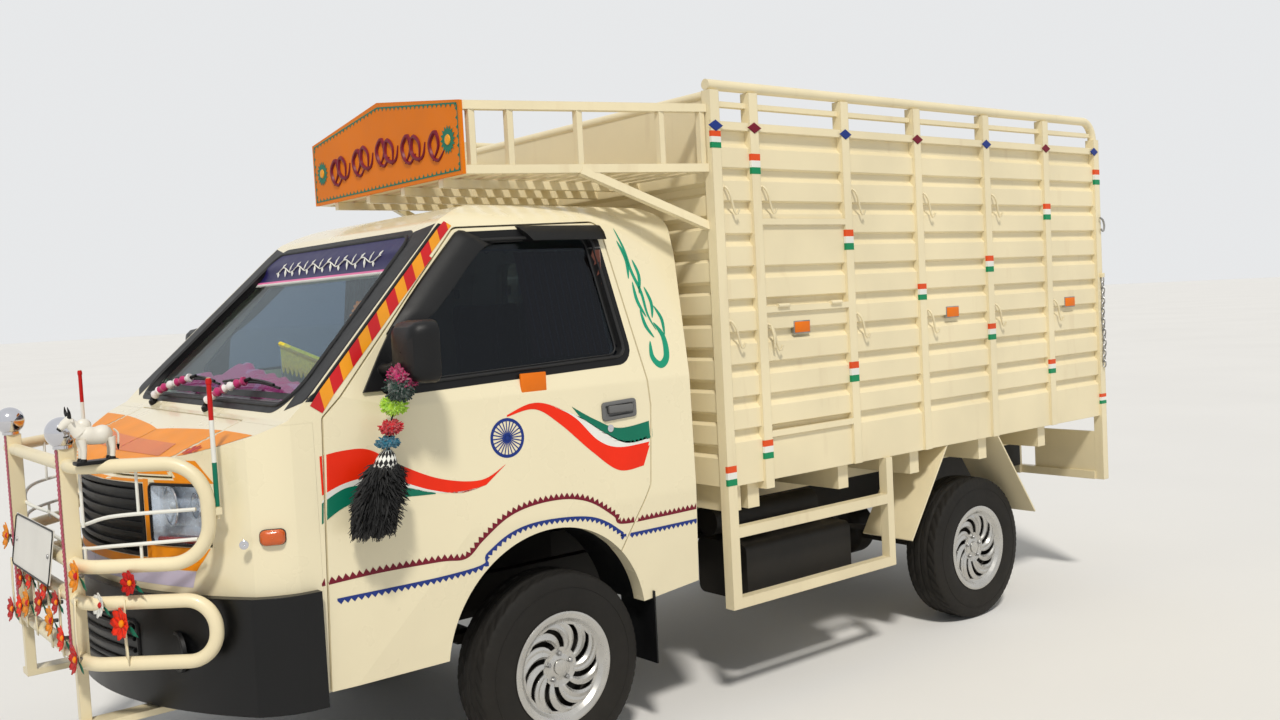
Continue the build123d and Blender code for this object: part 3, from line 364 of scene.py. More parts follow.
def make_materials():
    surface("cab_paint", (0.925, 0.882, 0.748), 0.28, coat=0.5, uneven=0.025, scale=1.6, edge=0.002,
            dust=0.28)
    surface("body_paint", (0.912, 0.860, 0.715), 0.4, coat=0.15, scale=2.4, bump=0.1, grain=70, edge=0.003,
            dust=0.25, base=worn_steel)
    surface("black_plastic", (0.05, 0.052, 0.058), 0.42, uneven=0.2, scale=5, bump=0.2, grain=900,
            edge=0.003, shine=0.3)
    surface("bumper_plastic", (0.035, 0.038, 0.045), 0.3, uneven=0.2, scale=4, bump=0.1, grain=900,
            edge=0.004, shine=0.32)
    surface("chassis_black", (0.05, 0.05, 0.052), 0.55, uneven=0.3, scale=6, bump=0.2, grain=300, edge=0.002,
            dust=0.05, shine=0.3)
    surface("tyre", (0.075, 0.073, 0.07), 0.75, uneven=0.25, scale=9, bump=0.15, grain=500, dust=0.03,
            shine=0.3)
    surface("silver", (0.76, 0.76, 0.75), 0.27, metallic=0.8, coat=0.3, uneven=0.1, scale=9, edge=0.002,
            dust=0.2)
    surface("lamp_silver", (0.88, 0.90, 0.93), 0.25, metallic=0.25, coat=0.5, scale=20)
    surface("bowl_silver", (0.86, 0.88, 0.91), 0.16, metallic=0.6, coat=0.3, uneven=0.1, scale=30)
    surface("chrome", (0.82, 0.82, 0.84), 0.1, metallic=1.0, uneven=0.05, scale=12)
    surface("galvanised", (0.62, 0.62, 0.62), 0.4, metallic=0.8, uneven=0.25, scale=30, bump=0.1)
    surface("red_lens", (0.58, 0.04, 0.04), 0.16, coat=0.8, uneven=0.1, scale=20, bump=0.4, grain=250)
    surface("orange_lens", (0.80, 0.34, 0.04), 0.2, coat=0.5, uneven=0.08, scale=20, bump=0.4, grain=250)
    surface("white_lens", (0.86, 0.87, 0.88), 0.16, coat=0.8, uneven=0.05, scale=20, bump=0.4, grain=250)
    surface("sign_orange", (0.88, 0.47, 0.02), 0.5, scale=4, bump=0.1, grain=90, shine=0.2)
    surface("flat_orange", (0.90, 0.45, 0.03), 0.5, scale=12, bump=0.3, grain=300, shine=0.3)
    surface("seat_cloth", (0.24, 0.17, 0.17), 0.9, uneven=0.3, scale=40, bump=0.35, grain=800, sheen=0.3)
    surface("plate_white", (0.87, 0.86, 0.83), 0.4, scale=8, edge=0.001, dust=0.2)
    surface("gasket", (0.045, 0.045, 0.05), 0.55, uneven=0.2, scale=12, bump=0.1, grain=500)
    surface("hair", (0.03, 0.03, 0.034), 0.6, uneven=0.4, scale=80, sheen=0.15, shine=0.3)
    surface("bull_white", (0.90, 0.88, 0.83), 0.35, coat=0.5, uneven=0.05, scale=20)
    surface("orange_flower", (0.96, 0.52, 0.08), 0.8, uneven=0.2, scale=90, sheen=0.4)
    surface("yellow_thread", (0.93, 0.83, 0.08), 0.85, uneven=0.25, scale=90, sheen=0.3)
    surface("white_thread", (0.88, 0.88, 0.84), 0.8, uneven=0.15, scale=90, sheen=0.3)
    surface("red_bead", (0.80, 0.06, 0.08), 0.25, coat=0.6, uneven=0.1, scale=30)
    for name, colour in WOOLS.items():
        surface(name, colour, 0.95, uneven=0.3, scale=120, bump=1.0, grain=500, sheen=0.6)
    for name, colour in PAINTS.items():
        surface(name, colour, 0.42, uneven=0.08, scale=6, bump=0.06, grain=160, dust=0.05, shine=0.25)
    for name, (tint, shine) in GLASSES.items():
        clear(name, tint, shine)
    banded("pillar_tape", ((0.80, 0.05, 0.08), (0.95, 0.62, 0.08)), 0.105, slant=1.1, roughness=0.3)
    banded("sleeve", ((0.92, 0.90, 0.90), (0.72, 0.08, 0.40)), 0.09, roughness=0.7, sheen=0.3)
    banded("hatched", ((0.80, 0.08, 0.08), (0.93, 0.60, 0.12)), 0.022, slant=0.9)
    woven("curtain_brown", (0.24, 0.11, 0.09), (0.38, 0.20, 0.15))
    woven("dash_cloth", (0.78, 0.03, 0.40), (0.90, 0.07, 0.50), print_scale=14, third=(0.92, 0.45, 0.70))


# What the slots and single nodes wear, where it isn't called after the slot
SLOT_MATERIALS = {
    "wheel_cover": "silver",
    "lamp": "lamp_glass",
    "tail_lamp": "red_lens",
    "orange_plastic": "orange_lens",
    "sign_paint": "sign_orange",
}
NODE_MATERIALS = {
    "cab_nose": "cab_paint",
    "cab_body": "cab_paint",
    "left_door": "cab_paint",
    "right_door": "cab_paint",
    "bonnet": "cab_paint",
    "cab_floor": "black_plastic",
    "front_bumper": "bumper_plastic",
    "left_door_glass": "dark_glass",
    "right_door_glass": "dark_glass",
}


def dress_nodes():
    slots = {row["node"]: row["material_slot"] for row in frame["record"]["subparts"]}
    for name, node in frame["nodes"].items():
        key = NODE_MATERIALS.get(name) or SLOT_MATERIALS.get(slots[name], slots[name])
        node.data.materials.clear()
        node.data.materials.append(MATERIALS[key])


# Curves
LOOP_STEP = 0.01
FINE_STEP = 0.02
CORNER_PARTS = 8


def smooth(points, steps=8):
    """Points along a smooth curve through some points."""
    points = [Vector(p) for p in points]
    last = len(points) - 1
    run = []
    for index in range(last):
        a = points[max(index - 1, 0)]
        b = points[index]
        c = points[index + 1]
        d = points[min(index + 2, last)]
        for step in range(steps):
            t = step / steps
            bend = (2 * a - 5 * b + 4 * c - d) * t * t + (3 * b - a - 3 * c + d) * t ** 3
            run.append(0.5 * (2 * b + (c - a) * t + bend))
    run.append(points[-1])
    return run


def run_length(points):
    return sum((b - a).length for a, b in zip(points, points[1:]))


def even(points, count):
    """The same run cut into equal steps."""
    points = [Vector(p) for p in points]
    total = run_length(points)
    walked = 0
    index = 0
    out = []
    for step in range(count):
        target = total * step / (count - 1)
        while index < len(points) - 2 and walked + (points[index + 1] - points[index]).length < target:
            walked += (points[index + 1] - points[index]).length
            index += 1
        span = (points[index + 1] - points[index]).length
        out.append(points[index].lerp(points[index + 1], min(1, (target - walked) / span) if span else 0))
    return out


def bent(points, count):
    """A smooth curve through some points, in equal steps."""
    return even(smooth(points), count)


def rounded(rows, step=LOOP_STEP):
    """A closed loop of 2-D points from corners and their radii."""
    loop = []
    count = len(rows)
    for index, (x, y, radius) in enumerate(rows):
        corner = Vector((x, y))
        before = (Vector(rows[index - 1][:2]) - corner).normalized()
        after = (Vector(rows[(index + 1) % count][:2]) - corner).normalized()
        half = before.angle(after) / 2
        back = radius / math.tan(half)
        centre = corner + (before + after).normalized() * (radius / math.sin(half))
        start = corner + before * back - centre
        swing = start.angle_signed(corner + after * back - centre)
        for part in range(CORNER_PARTS + 1):
            loop.append(centre + Matrix.Rotation(-swing * part / CORNER_PARTS, 2) @ start)
    loop.append(loop[0])
    return even(loop, max(12, int(run_length(loop) / step)))[:-1]


def oblong(low, high, radius, step=LOOP_STEP):
    """A closed loop round a rounded oblong between two opposite corners."""
    corners = (low, (high[0], low[1]), high, (low[0], high[1]))
    return rounded([(*corner, radius) for corner in corners], step)


def grown(loop, amount):
    """A closed 2-D loop moved outward by an amount."""
    area = sum(a.x * b.y - b.x * a.y for a, b in zip(loop, loop[1:] + loop[:1]))
    sign = 1 if area > 0 else -1
    out = []
    for index, point in enumerate(loop):
        along = (loop[(index + 1) % len(loop)] - loop[index - 1]).normalized()
        out.append(point + Vector((along.y, -along.x)) * sign * amount)
    return out


def spoke(turn):
    """A level direction."""
    return Vector((math.cos(turn), math.sin(turn), 0))


def circle(centre, u, v, radius, count, start=0.0):
    """Points round a circle that lies in two directions."""
    turns = [start + 2 * math.pi * step / count for step in range(count)]
    return [centre + (u * math.cos(turn) + v * math.sin(turn)) * radius for turn in turns]


# Meshes
LEAST_RADIUS = 0.00005


class Form:
    """Points and faces gathered for one piece; each face knows its material."""

    def __init__(self):
        self.points = []
        self.places = []
        self.faces = []
        self.keys = []

    def add(self, points, faces, key, places=None):
        start = len(self.points)
        self.points += [Vector(p) for p in points]
        self.places += list(places) if places else [(0.0, 0.0)] * len(points)
        for face in faces:
            self.faces.append([start + index for index in face])
            self.keys.append(key)

    def face(self, points, key):
        """One flat face."""
        self.add(points, [tuple(range(len(points)))], key)

    def grid(self, rows, key, round_u=False, round_v=False):
        """A sheet of four-sided faces over rows of points."""
        tall = len(rows)
        wide = len(rows[0])
        across = [0.0]
        for a, b in zip(rows[0], rows[0][1:]):
            across.append(across[-1] + (b - a).length)
        places = []
        walked = 0.0
        for index, row in enumerate(rows):
            walked += (row[0] - rows[index - 1][0]).length if index else 0.0
            places += [(u, walked) for u in across]
        faces = []
        for i in range(tall if round_v else tall - 1):
            for j in range(wide if round_u else wide - 1):
                k = (i + 1) % tall
                m = (j + 1) % wide
                faces.append((i * wide + j, i * wide + m, k * wide + m, k * wide + j))
        self.add([p for row in rows for p in row], faces, key, places)

    def tube(self, path, radius, key, sides=8, closed=False):
        """A round bar along a path; the radius may change along it."""
        path = [Vector(p) for p in path]
        count = len(path)
        radii = radius if isinstance(radius, (list, tuple)) else [radius] * count
        side = None
        points = []
        places = []
        walked = 0.0
        for index, point in enumerate(path):
            if closed:
                run = path[(index + 1) % count] - path[index - 1]
            else:
                run = path[min(index + 1, count - 1)] - path[max(index - 1, 0)]
            run.normalize()
            if side is None:
                side = run.orthogonal().normalized()
            side = (side - run * side.dot(run)).normalized()
            points += circle(point, side, run.cross(side), radii[index], sides)
            walked += (point - path[index - 1]).length if index else 0.0
            places += [(walked, step / sides) for step in range(sides)]
        faces = []
        for i in range(count if closed else count - 1):
            for j in range(sides):
                k = (i + 1) % count
                m = (j + 1) % sides
                faces.append((i * sides + j, i * sides + m, k * sides + m, k * sides + j))
        if not closed:
            faces.append(tuple(reversed(range(sides))))
            faces.append(tuple((count - 1) * sides + step for step in range(sides)))
        self.add(points, faces, key, places)

    def lathe(self, profile, origin, axis, key, sides=32):
        """A round form from (radius, height) rows."""
        axis = Vector(axis).normalized()
        side = axis.orthogonal().normalized()
        other = axis.cross(side)
        rows = []
        for radius, height in profile:
            middle = Vector(origin) + axis * height
            rows.append(circle(middle, side, other, max(radius, LEAST_RADIUS), sides))
        self.grid(rows, key, round_u=True)

    def ball(self, centre, radius, key, scale=(1, 1, 1), rings=8, sides=14):
        rows = []
        for ring in range(rings + 1):
            lean = math.pi * ring / rings
            row = []
            pole = Vector((0, 0, -math.cos(lean)))
            for ray in circle(pole, OUTWARD, BEHIND, math.sin(lean), sides):
                row.append(Vector(centre) + Vector(a * b for a, b in zip(ray, scale)) * radius)
            rows.append(row)
        self.grid(rows, key, round_u=True)

    def block(self, low, high, key, edge=0.002):
        """A block with rounded edges between two opposite corners."""
        low, high = [Vector([pick(pair) for pair in zip(low, high)]) for pick in (min, max)]
        size = high - low
        shape = bmesh.new()
        bmesh.ops.create_cube(shape, size=1)
        for vertex in shape.verts:
            vertex.co = Vector((v + 0.5) * s + l for v, s, l in zip(vertex.co, size, low))
        edge = min(edge, min(size) * 0.4)
        bmesh.ops.bevel(shape, geom=shape.edges[:], offset=edge, segments=2, affect="EDGES", profile=0.5)
        shape.verts.index_update()
        faces = [[vertex.index for vertex in face.verts] for face in shape.faces]
        self.add([vertex.co for vertex in shape.verts], faces, key)
        shape.free()

    def prism(self, outline, origin, u, v, depth, key):
        """A flat shape drawn in two directions, run to a depth across them."""
        away = u.cross(v).normalized() * depth
        base = [Vector(origin) + u * x + v * y for x, y in outline]
        count = len(base)
        faces = [tuple(reversed(range(count))), tuple(range(count, 2 * count))]
        for index in range(count):
            after = (index + 1) % count
            faces.append((index, after, after + count, index + count))
        self.add(base + [p + away for p in base], faces, key)

    def make(self, name, body, slot=None, replaces=(), sharp=38, thick=0.0, offset=-1):
        """The gathered mesh as one piece that rides on a body, thickened where wanted."""
        mesh = bpy.data.meshes.new(name)
        mesh.from_pydata(self.points, [], self.faces)
        names = sorted(set(self.keys))
        for key in names:
            mesh.materials.append(MATERIALS[key])
        layer = mesh.uv_layers.new(name="place")
        for loop in mesh.loops:
            layer.data[loop.index].uv = self.places[loop.vertex_index]
        for face, key in zip(mesh.polygons, self.keys):
            face.material_index = names.index(key)
            face.use_smooth = True
        mesh.set_sharp_from_angle(angle=math.radians(sharp))
        piece = new_object(name, mesh)
        if thick:
            sheet = piece.modifiers.new("thickness", "SOLIDIFY")
            sheet.thickness = thick
            sheet.offset = offset
        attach(piece, body)
        if replaces:
            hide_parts(*replaces)
        return piece


# Surfaces of the CAD that paint and trim are laid on
RAY_REACH = 6
FAR_SIDE = 1.5
FAR_AHEAD = -1.6
FILM_LIFT = 0.0008
FILM_JUMP = 0.02
WELD = 0.00005


class Skin:
    """The surfaces of some CAD nodes as one tree of faces that knows each face's node."""

    def __init__(self, *names):
        points = []
        faces = []
        self.owners = []
        for name in names:
            mesh = frame["nodes"][name].data
            start = len(points)
            points += [vertex.co.copy() for vertex in mesh.vertices]
            for face in mesh.polygons:
                faces.append([start + index for index in face.vertices])
                self.owners.append(name)
        self.tree = BVHTree.FromPolygons(points, faces)

    def cast(self, start, way):
        """Where a ray lands, the outward normal there and the body it landed on."""
        hit, normal, index, _ = self.tree.ray_cast(start, way, RAY_REACH)
        if hit is None:
            return None
        if normal.dot(way) > 0:
            normal = -normal
        return hit, normal, NODE_BODY[self.owners[index]]

    def spot(self, start, way):
        hit = self.cast(start, way)
        return hit and hit[0]

    def beside(self, sign, along, z):
        """The point seen from one side, or nothing."""
        return self.spot(at(sign * FAR_SIDE, along, z), Vector((-sign, 0, 0)))

    def ahead(self, x, z):
        """The point seen from in front, or nothing."""
        return self.spot(at(x, FAR_AHEAD, z), BEHIND)


CAB_SKIN = Skin("cab_nose", "cab_body", "left_door", "right_door", "bonnet")
GLASS_SKIN = Skin("cab_nose", "cab_body", "bonnet", "cab_glass")
BUMPER_SKIN = Skin("front_bumper")
LAMP_SKIN = Skin("headlamps")
FILMS = {}


def film(group, rows, way, key, skin=CAB_SKIN, lift=FILM_LIFT, jump=FILM_JUMP):
    """Lays a grid of points along a direction onto a skin, as one thin piece for each body."""
    way = Vector(way).normalized()
    hits = [[skin.cast(point - way, way) for point in row] for row in rows]
    walked_rows = 0.0
    for i in range(len(rows) - 1):
        step_v = (rows[i + 1][0] - rows[i][0]).length
        walked = 0.0
        for j in range(len(rows[0]) - 1):
            step_u = (rows[i][j + 1] - rows[i][j]).length
            corners = (hits[i][j], hits[i][j + 1], hits[i + 1][j + 1], hits[i + 1][j])
            steps = ((0, 0), (step_u, 0), (step_u, step_v), (0, step_v))
            places = [(walked + u, walked_rows + v) for u, v in steps]
            walked += step_u
            if any(corner is None for corner in corners):
                continue
            depths = [corner[0].dot(way) for corner in corners]
            bodies = {corner[2] for corner in corners}
            if max(depths) - min(depths) > jump or len(bodies) > 1:
                continue
            form = FILMS.setdefault((group, bodies.pop()), Form())
            points = [corner[0] + corner[1] * lift for corner in corners]
            form.add(points, [(0, 1, 2, 3)], key, places)
        walked_rows += step_v


def make_films():
    for (group, body), form in FILMS.items():
        piece = form.make(f"{group}.{body}", body, "body_paint", sharp=30)
        shape = bmesh.new()
        shape.from_mesh(piece.data)
        bmesh.ops.remove_doubles(shape, verts=shape.verts[:], dist=WELD)
        shape.to_mesh(piece.data)
        shape.free()


# Ways to draw on the cab. Each gives a drawn point's start and the direction it is laid in.

def on_side(sign):
    """For (along, z) on one side."""
    return lambda p: at(sign * 1.1, p[0], p[1]), (-sign, 0, 0)


def on_front(sign):
    """For (x, z) from ahead."""
    return lambda p: at(sign * p[0], -1.5, p[1]), BEHIND


def on_hood(sign):
    """For (x, along) from above."""
    return lambda p: at(sign * p[0], p[1], 1.5), DOWN


def between(first, second, rows):
    """Rows of points that lead from one line to another."""
    return [[a.lerp(b, k / rows) for a, b in zip(first, second)] for k in range(rows + 1)]


def lay(group, rows, key, where, **how):
    place, way = where
    film(group, [[place(p) for p in row] for row in rows], way, key, **how)


def ribbon(group, first, second, key, where, cells, across):
    """Paint between two smooth edges."""
    lay(group, between(bent(first, cells), bent(second, cells), across), key, where)


def leading(run, index):
    """The direction of a run of points at one of them, turned a quarter to its left."""
    along = (run[min(index + 1, len(run) - 1)] - run[max(index - 1, 0)]).normalized()
    return Vector((-along.y, along.x))


def stroke(group, points, width, key, where, cells, taper=False, across=2):
    """A painted line of a width along a smooth curve."""
    run = bent(points, cells)
    edges = ([], [])
    for index, point in enumerate(run):
        half = width / 2
        if taper:
            half *= max(0.05, math.sin(math.pi * index / (cells - 1)) ** 0.5)
        side = leading(run, index) * half
        edges[0].append(point + side)
        edges[1].append(point - side)
    lay(group, between(*edges, across), key, where)


TOOTH = (0.1, 0.55, 1.0, 0.55)
TOOTH_PITCH = 0.021
TOOTH_ROOT = 0.006
ARCH_JUMP = 0.06


def toothed(group, points, depth, key, where):
    """A thin painted line with a row of small teeth on it, downward where the depth is negative."""
    run = smooth(points)
    count = int(run_length(run) / TOOTH_PITCH) * len(TOOTH)
    run = even(run, count + 1)
    up = 1 if depth > 0 else -1
    base = []
    tips = []
    for index, point in enumerate(run):
        rise = leading(run, index)
        base.append(point - rise * up * TOOTH_ROOT)
        tips.append(point + rise * depth * TOOTH[index % len(TOOTH)])
    lay(group, (base, tips), key, where, jump=ARCH_JUMP)


def disc(group, centre, inner, outer, key, where, parts, lift=FILM_LIFT):
    """A painted ring or disc."""
    rows = []
    for radius in (inner, (inner + outer) / 2, outer):
        ring = circle(Vector(centre), Vector((1, 0)), Vector((0, 1)), radius, parts)
        rows.append(ring + ring[:1])
    lay(group, rows, key, where, lift=lift)


def patch(group, corners, key, where, cells, lift=FILM_LIFT):
    """Paint inside four corners."""
    a, b, c, d = (Vector(corner) for corner in corners)
    columns, lines = cells
    left = [a.lerp(d, i / lines) for i in range(lines + 1)]
    right = [b.lerp(c, i / lines) for i in range(lines + 1)]
    rows = [[p.lerp(q, j / columns) for j in range(columns + 1)] for p, q in zip(left, right)]
    lay(group, rows, key, where, lift=lift)


# Paintwork drawn on (along, z), read off the photograph's left side
ORANGE_FRONT = (
    ((-0.82, 1.15), (-0.745, 1.159), (-0.668, 1.152), (-0.576, 1.096), (-0.443, 1.035), (-0.301, 1.012),
     (-0.205, 1.05)),
    ((-0.82, 1.036), (-0.751, 1.062), (-0.674, 1.069), (-0.579, 1.045), (-0.48, 1.006), (-0.376, 0.982),
     (-0.284, 0.994)),
)
GREEN_FRONT = (
    ((-0.822, 1.013), (-0.752, 1.047), (-0.68, 1.048), (-0.581, 1.03), (-0.464, 0.995)),
    ((-0.826, 0.952), (-0.756, 0.992), (-0.68, 1.008), (-0.583, 0.997), (-0.464, 0.991)),
)
ORANGE_REAR = (
    ((-0.187, 1.206), (-0.097, 1.234), (-0.018, 1.223), (0.08, 1.17), (0.17, 1.083), (0.26, 1.049),
     (0.40, 1.053)),
    ((-0.188, 1.20), (-0.078, 1.214), (0.02, 1.153), (0.14, 1.048), (0.25, 0.97), (0.36, 0.972)),
)
GREEN_REAR = (
    ((0.07, 1.208), (0.165, 1.154), (0.265, 1.115), (0.41, 1.127)),
    ((0.10, 1.171), (0.19, 1.111), (0.29, 1.06), (0.41, 1.067)),
)
MAROON_LINE = (
    (-0.838, 0.778), (-0.663, 0.786), (-0.461, 0.785), (-0.372, 0.779), (-0.314, 0.823), (-0.236, 0.874),
    (-0.158, 0.901), (-0.059, 0.912), (0.042, 0.906), (0.130, 0.878), (0.220, 0.818), (0.252, 0.788),
    (0.429, 0.785), (0.606, 0.787),
)
BLUE_LINE = (
    (-0.795, 0.722), (-0.345, 0.732), (-0.292, 0.772), (-0.213, 0.818), (-0.124, 0.839), (-0.004, 0.839),
    (0.110, 0.824), (0.185, 0.794), (0.252, 0.748), (0.275, 0.738), (0.603, 0.739),
)
MAROON_DEPTH = 0.016
BLUE_DEPTH = -0.013
EMBLEM = (-0.192, 1.133)
EMBLEM_R = 0.064
SPOKES = 24
SPOKE_WIDTH = 0.0038
SWIRLS = (
    (((0.398, 1.815), (0.425, 1.74), (0.437, 1.66), (0.462, 1.58), (0.470, 1.50), (0.495, 1.44)), 0.013, 60),
    (((0.488, 1.47), (0.520, 1.415), (0.515, 1.345), (0.480, 1.318), (0.450, 1.348), (0.455, 1.405)),
     0.026, 60),
    (((0.400, 1.77), (0.425, 1.70), (0.418, 1.63)), 0.014, 24),
    (((0.452, 1.70), (0.468, 1.64), (0.452, 1.575)), 0.014, 24),
    (((0.432, 1.62), (0.436, 1.55), (0.462, 1.49)), 0.014, 24),
    (((0.480, 1.60), (0.498, 1.54), (0.488, 1.485)), 0.014, 24),
    (((0.440, 1.52), (0.450, 1.46), (0.478, 1.415)), 0.014, 24),
    (((0.505, 1.53), (0.530, 1.48), (0.528, 1.42)), 0.014, 24),
)


def paint_sides():
    group = "paintwork"
    for _, sign in SIDES:
        where = on_side(sign)
        ribbon(group, *ORANGE_FRONT, "orange_paint", where, 90, 6)
        ribbon(group, *GREEN_FRONT, "green_paint", where, 60, 4)
        ribbon(group, *ORANGE_REAR, "orange_paint", where, 90, 6)
        ribbon(group, *GREEN_REAR, "green_paint", where, 60, 4)
        ribbon(group, ORANGE_FRONT[1], GREEN_FRONT[0] + ((-0.34, 0.985),), "white_paint", where, 70, 3)
        ribbon(group, ORANGE_REAR[0][2:], GREEN_REAR[1], "white_paint", where, 60, 3)
        disc(group, EMBLEM, EMBLEM_R * 0.84, EMBLEM_R, "blue_paint", where, 48)
        disc(group, EMBLEM, 0, EMBLEM_R * 0.16, "blue_paint", where, 24)
        for ray in circle(Vector((0, 0)), Vector((1, 0)), Vector((0, 1)), EMBLEM_R, SPOKES):
            ends = [Vector(EMBLEM) + ray * reach for reach in (0.12, 0.86)]
            stroke(group, ends, SPOKE_WIDTH, "blue_paint", where, 7, across=1)
        toothed(group, MAROON_LINE, MAROON_DEPTH, "maroon_paint", where)
        toothed(group, BLUE_LINE, BLUE_DEPTH, "blue_paint", where)
        for curve, width, cells in SWIRLS:
            stroke(group, curve, width, "teal_paint", where, cells, taper=True)


# The hood, drawn on (x, along), and the front, drawn on (x, z)
HOOD_TOP = ((0, -1.032), (0.164, -1.012), (0.473, -0.990), (0.742, -0.990))
HOOD_EDGE = ((0, -1.20), (0.22, -1.193), (0.42, -1.170), (0.598, -1.108))
HATCHED_PANEL = ((0, -1.092), (0.36, -1.085), (0.40, -1.150), (0, -1.165))
# Piece, four corners, key, and cells across and down
FRONT_PATCHES = (
    ("hood_paint", ((0, 1.158), (0.585, 1.158), (0.640, 1.092), (0, 1.086)), "hood_amber", (60, 8)),
    ("front_paint", ((0.373, 1.10), (0.397, 1.10), (0.397, 0.85), (0.373, 0.85)), "hood_amber", (4, 36)),
    ("front_paint", ((0, 0.862), (0.585, 0.862), (0.565, 0.835), (0, 0.835)), "hood_amber", (70, 4)),
    ("front_paint", ((0.373, 0.902), (0.615, 0.902), (0.585, 0.860), (0.373, 0.860)), "hood_amber", (36, 5)),
    ("front_paint", ((0, 0.833), (0.563, 0.833), (0.548, 0.785), (0, 0.785)), "lavender_paint", (70, 6)),
)
ORNAMENT = (0.545, -1.098)
ORNAMENT_SIZE = (0.034, 0.020)
ORNAMENT_PETALS = 8


def paint_front():
    for _, sign in SIDES:
        hood = on_hood(sign)
        ribbon("hood_paint", HOOD_TOP, HOOD_EDGE, "hood_amber", hood, 70, 16)
        for group, corners, key, cells in FRONT_PATCHES:
            patch(group, corners, key, on_front(sign), cells)
        patch("hood_paint", HATCHED_PANEL, "hatched", hood, (40, 8), lift=0.0018)
        disc("hood_paint", ORNAMENT, 0.0, 0.017, "red_paint", hood, 24, lift=0.0018)
        for petal in range(ORNAMENT_PETALS):
            turn = 2 * math.pi * petal / ORNAMENT_PETALS
            reach = (ORNAMENT_SIZE[0] * math.cos(turn), ORNAMENT_SIZE[1] * math.sin(turn))
            middle = Vector(ORNAMENT) + Vector(reach)
            disc("hood_paint", middle, 0, 0.0075, "red_paint", hood, 12, lift=0.002)


# Windows in the CAD's own sizes: two coordinates and a radius for each corner
SCREEN = ((-0.70, 1.30, 0.06), (-0.548, 1.80, 0.06), (0.548, 1.80, 0.06), (0.70, 1.30, 0.06))
WINDOW = ((-0.64, 1.33, 0.03), (-0.232, 1.775, 0.04), (0.318, 1.795, 0.035), (0.338, 1.362, 0.035))
REAR_WINDOW = ((-0.48, 1.38, 0.05), (-0.45, 1.74, 0.05), (0.45, 1.74, 0.05), (0.48, 1.38, 0.05))
DOOR_SLOPE = math.tan(math.radians(12))
DRAWN_X = 0.830
WINDOW_X = 0.8075
WINDOW_FOOT = 1.30
WINDOW_LEAN = 0.2575
GLASS_DEPTH = 0.0215
SCREEN_SLOPE = 1.03
SCREEN_FACE = -0.855
SCREEN_FOOT = 1.31
REVEAL = (0.0, 0.010, 0.020, 0.029)
BAND_ROWS = 48
TAPE_LOW = Vector((0.766, -0.80, 1.275))
TAPE_HIGH = Vector((0.652, -0.262, 1.826))
TAPE_NORMAL = Vector((0.80, -0.52, 0.30)).normalized()
TAPE_ACROSS = (TAPE_HIGH - TAPE_LOW).normalized().cross(TAPE_NORMAL).normalized()
TAPE_WIDTH = 0.036
TAPE_STEPS = 60


def screen_side(z):
    """Half the screen's width at a height."""
    return 0.70 - 0.152 * (z - 1.30) / 0.50


def screen_along(z):
    """How far along the screen's face lies at a height."""
    return SCREEN_FACE + SCREEN_SLOPE * (z - SCREEN_FOOT)


def leaned(loop, skin, sign):
    """A door opening's drawn loop, moved forward where the side leans in, as the cut runs slantwise."""
    out = []
    for point in loop:
        spot = Vector(point)
        for _ in range(3):
            hit = skin.beside(sign, *spot)
            if hit:
                spot = Vector((point[0] - DOOR_SLOPE * (DRAWN_X - abs(hit.x)), point[1]))
        out.append(spot)
    return out


def loop_band(group, loop, inner, outer, where, skin, rings):
    """A black band laid round a closed loop between two distances from it."""
    rows = []
    for ring in range(rings + 1):
        edge = grown(loop, inner + (outer - inner) * ring / rings)
        rows.append(edge + edge[:1])
    lay(group, rows, "black_paint", where, skin=skin)


def seal(form, loop, where, skin, radius):
    """A rubber bead that follows a loop on the skin."""
    place, way = where
    hits = [skin.spot(place(point) - Vector(way), Vector(way)) for point in loop]
    form.tube([hit for hit in hits if hit], radius, "gasket", closed=True)


def mirrored(sign, points):
    return [at(sign * p.x, p.y, p.z) for p in points]


def tape_film(rows, sign, key, group, **how):
    """A film on a screen pillar, laid square to the pillar's face."""
    way = (-sign * TAPE_NORMAL.x, -TAPE_NORMAL.y, -TAPE_NORMAL.z)
    film(group, [mirrored(sign, row) for row in rows], way, key, **how)


def trim_screen():
    """The black border of the screen, out to the tape on the pillars, and its rubber seal."""
    screen = rounded(SCREEN)
    loop_band("screen_band", screen, -0.026, 0.0, on_front(1), GLASS_SKIN, 3)
    loop_band("screen_band", screen, 0.0, 0.024, on_front(1), GLASS_SKIN, 4)
    for _, sign in SIDES:
        rows = []
        for step in range(BAND_ROWS + 1):
            z = 1.285 + 0.53 * step / BAND_ROWS
            inner = Vector((screen_side(z) + 0.004, screen_along(z), z))
            share = (z - TAPE_LOW.z) / (TAPE_HIGH.z - TAPE_LOW.z)
            outer = TAPE_LOW.lerp(TAPE_HIGH, share) - TAPE_ACROSS * TAPE_WIDTH * 0.5
            rows.append([inner.lerp(outer, k / 10) for k in range(11)])
        tape_film(rows, sign, "black_paint", "screen_band", jump=0.08)
    form = Form()
    seal(form, grown(screen, 0.004), on_front(1), GLASS_SKIN, 0.007)
    inside = grown(screen, -0.0012)
    form.grid([[at(p.x, screen_along(p.y) + depth - 0.001, p.y) for p in inside] for depth in REVEAL],
              "gasket", round_u=True)
    form.make("screen_seal", "truck", "black_plastic")


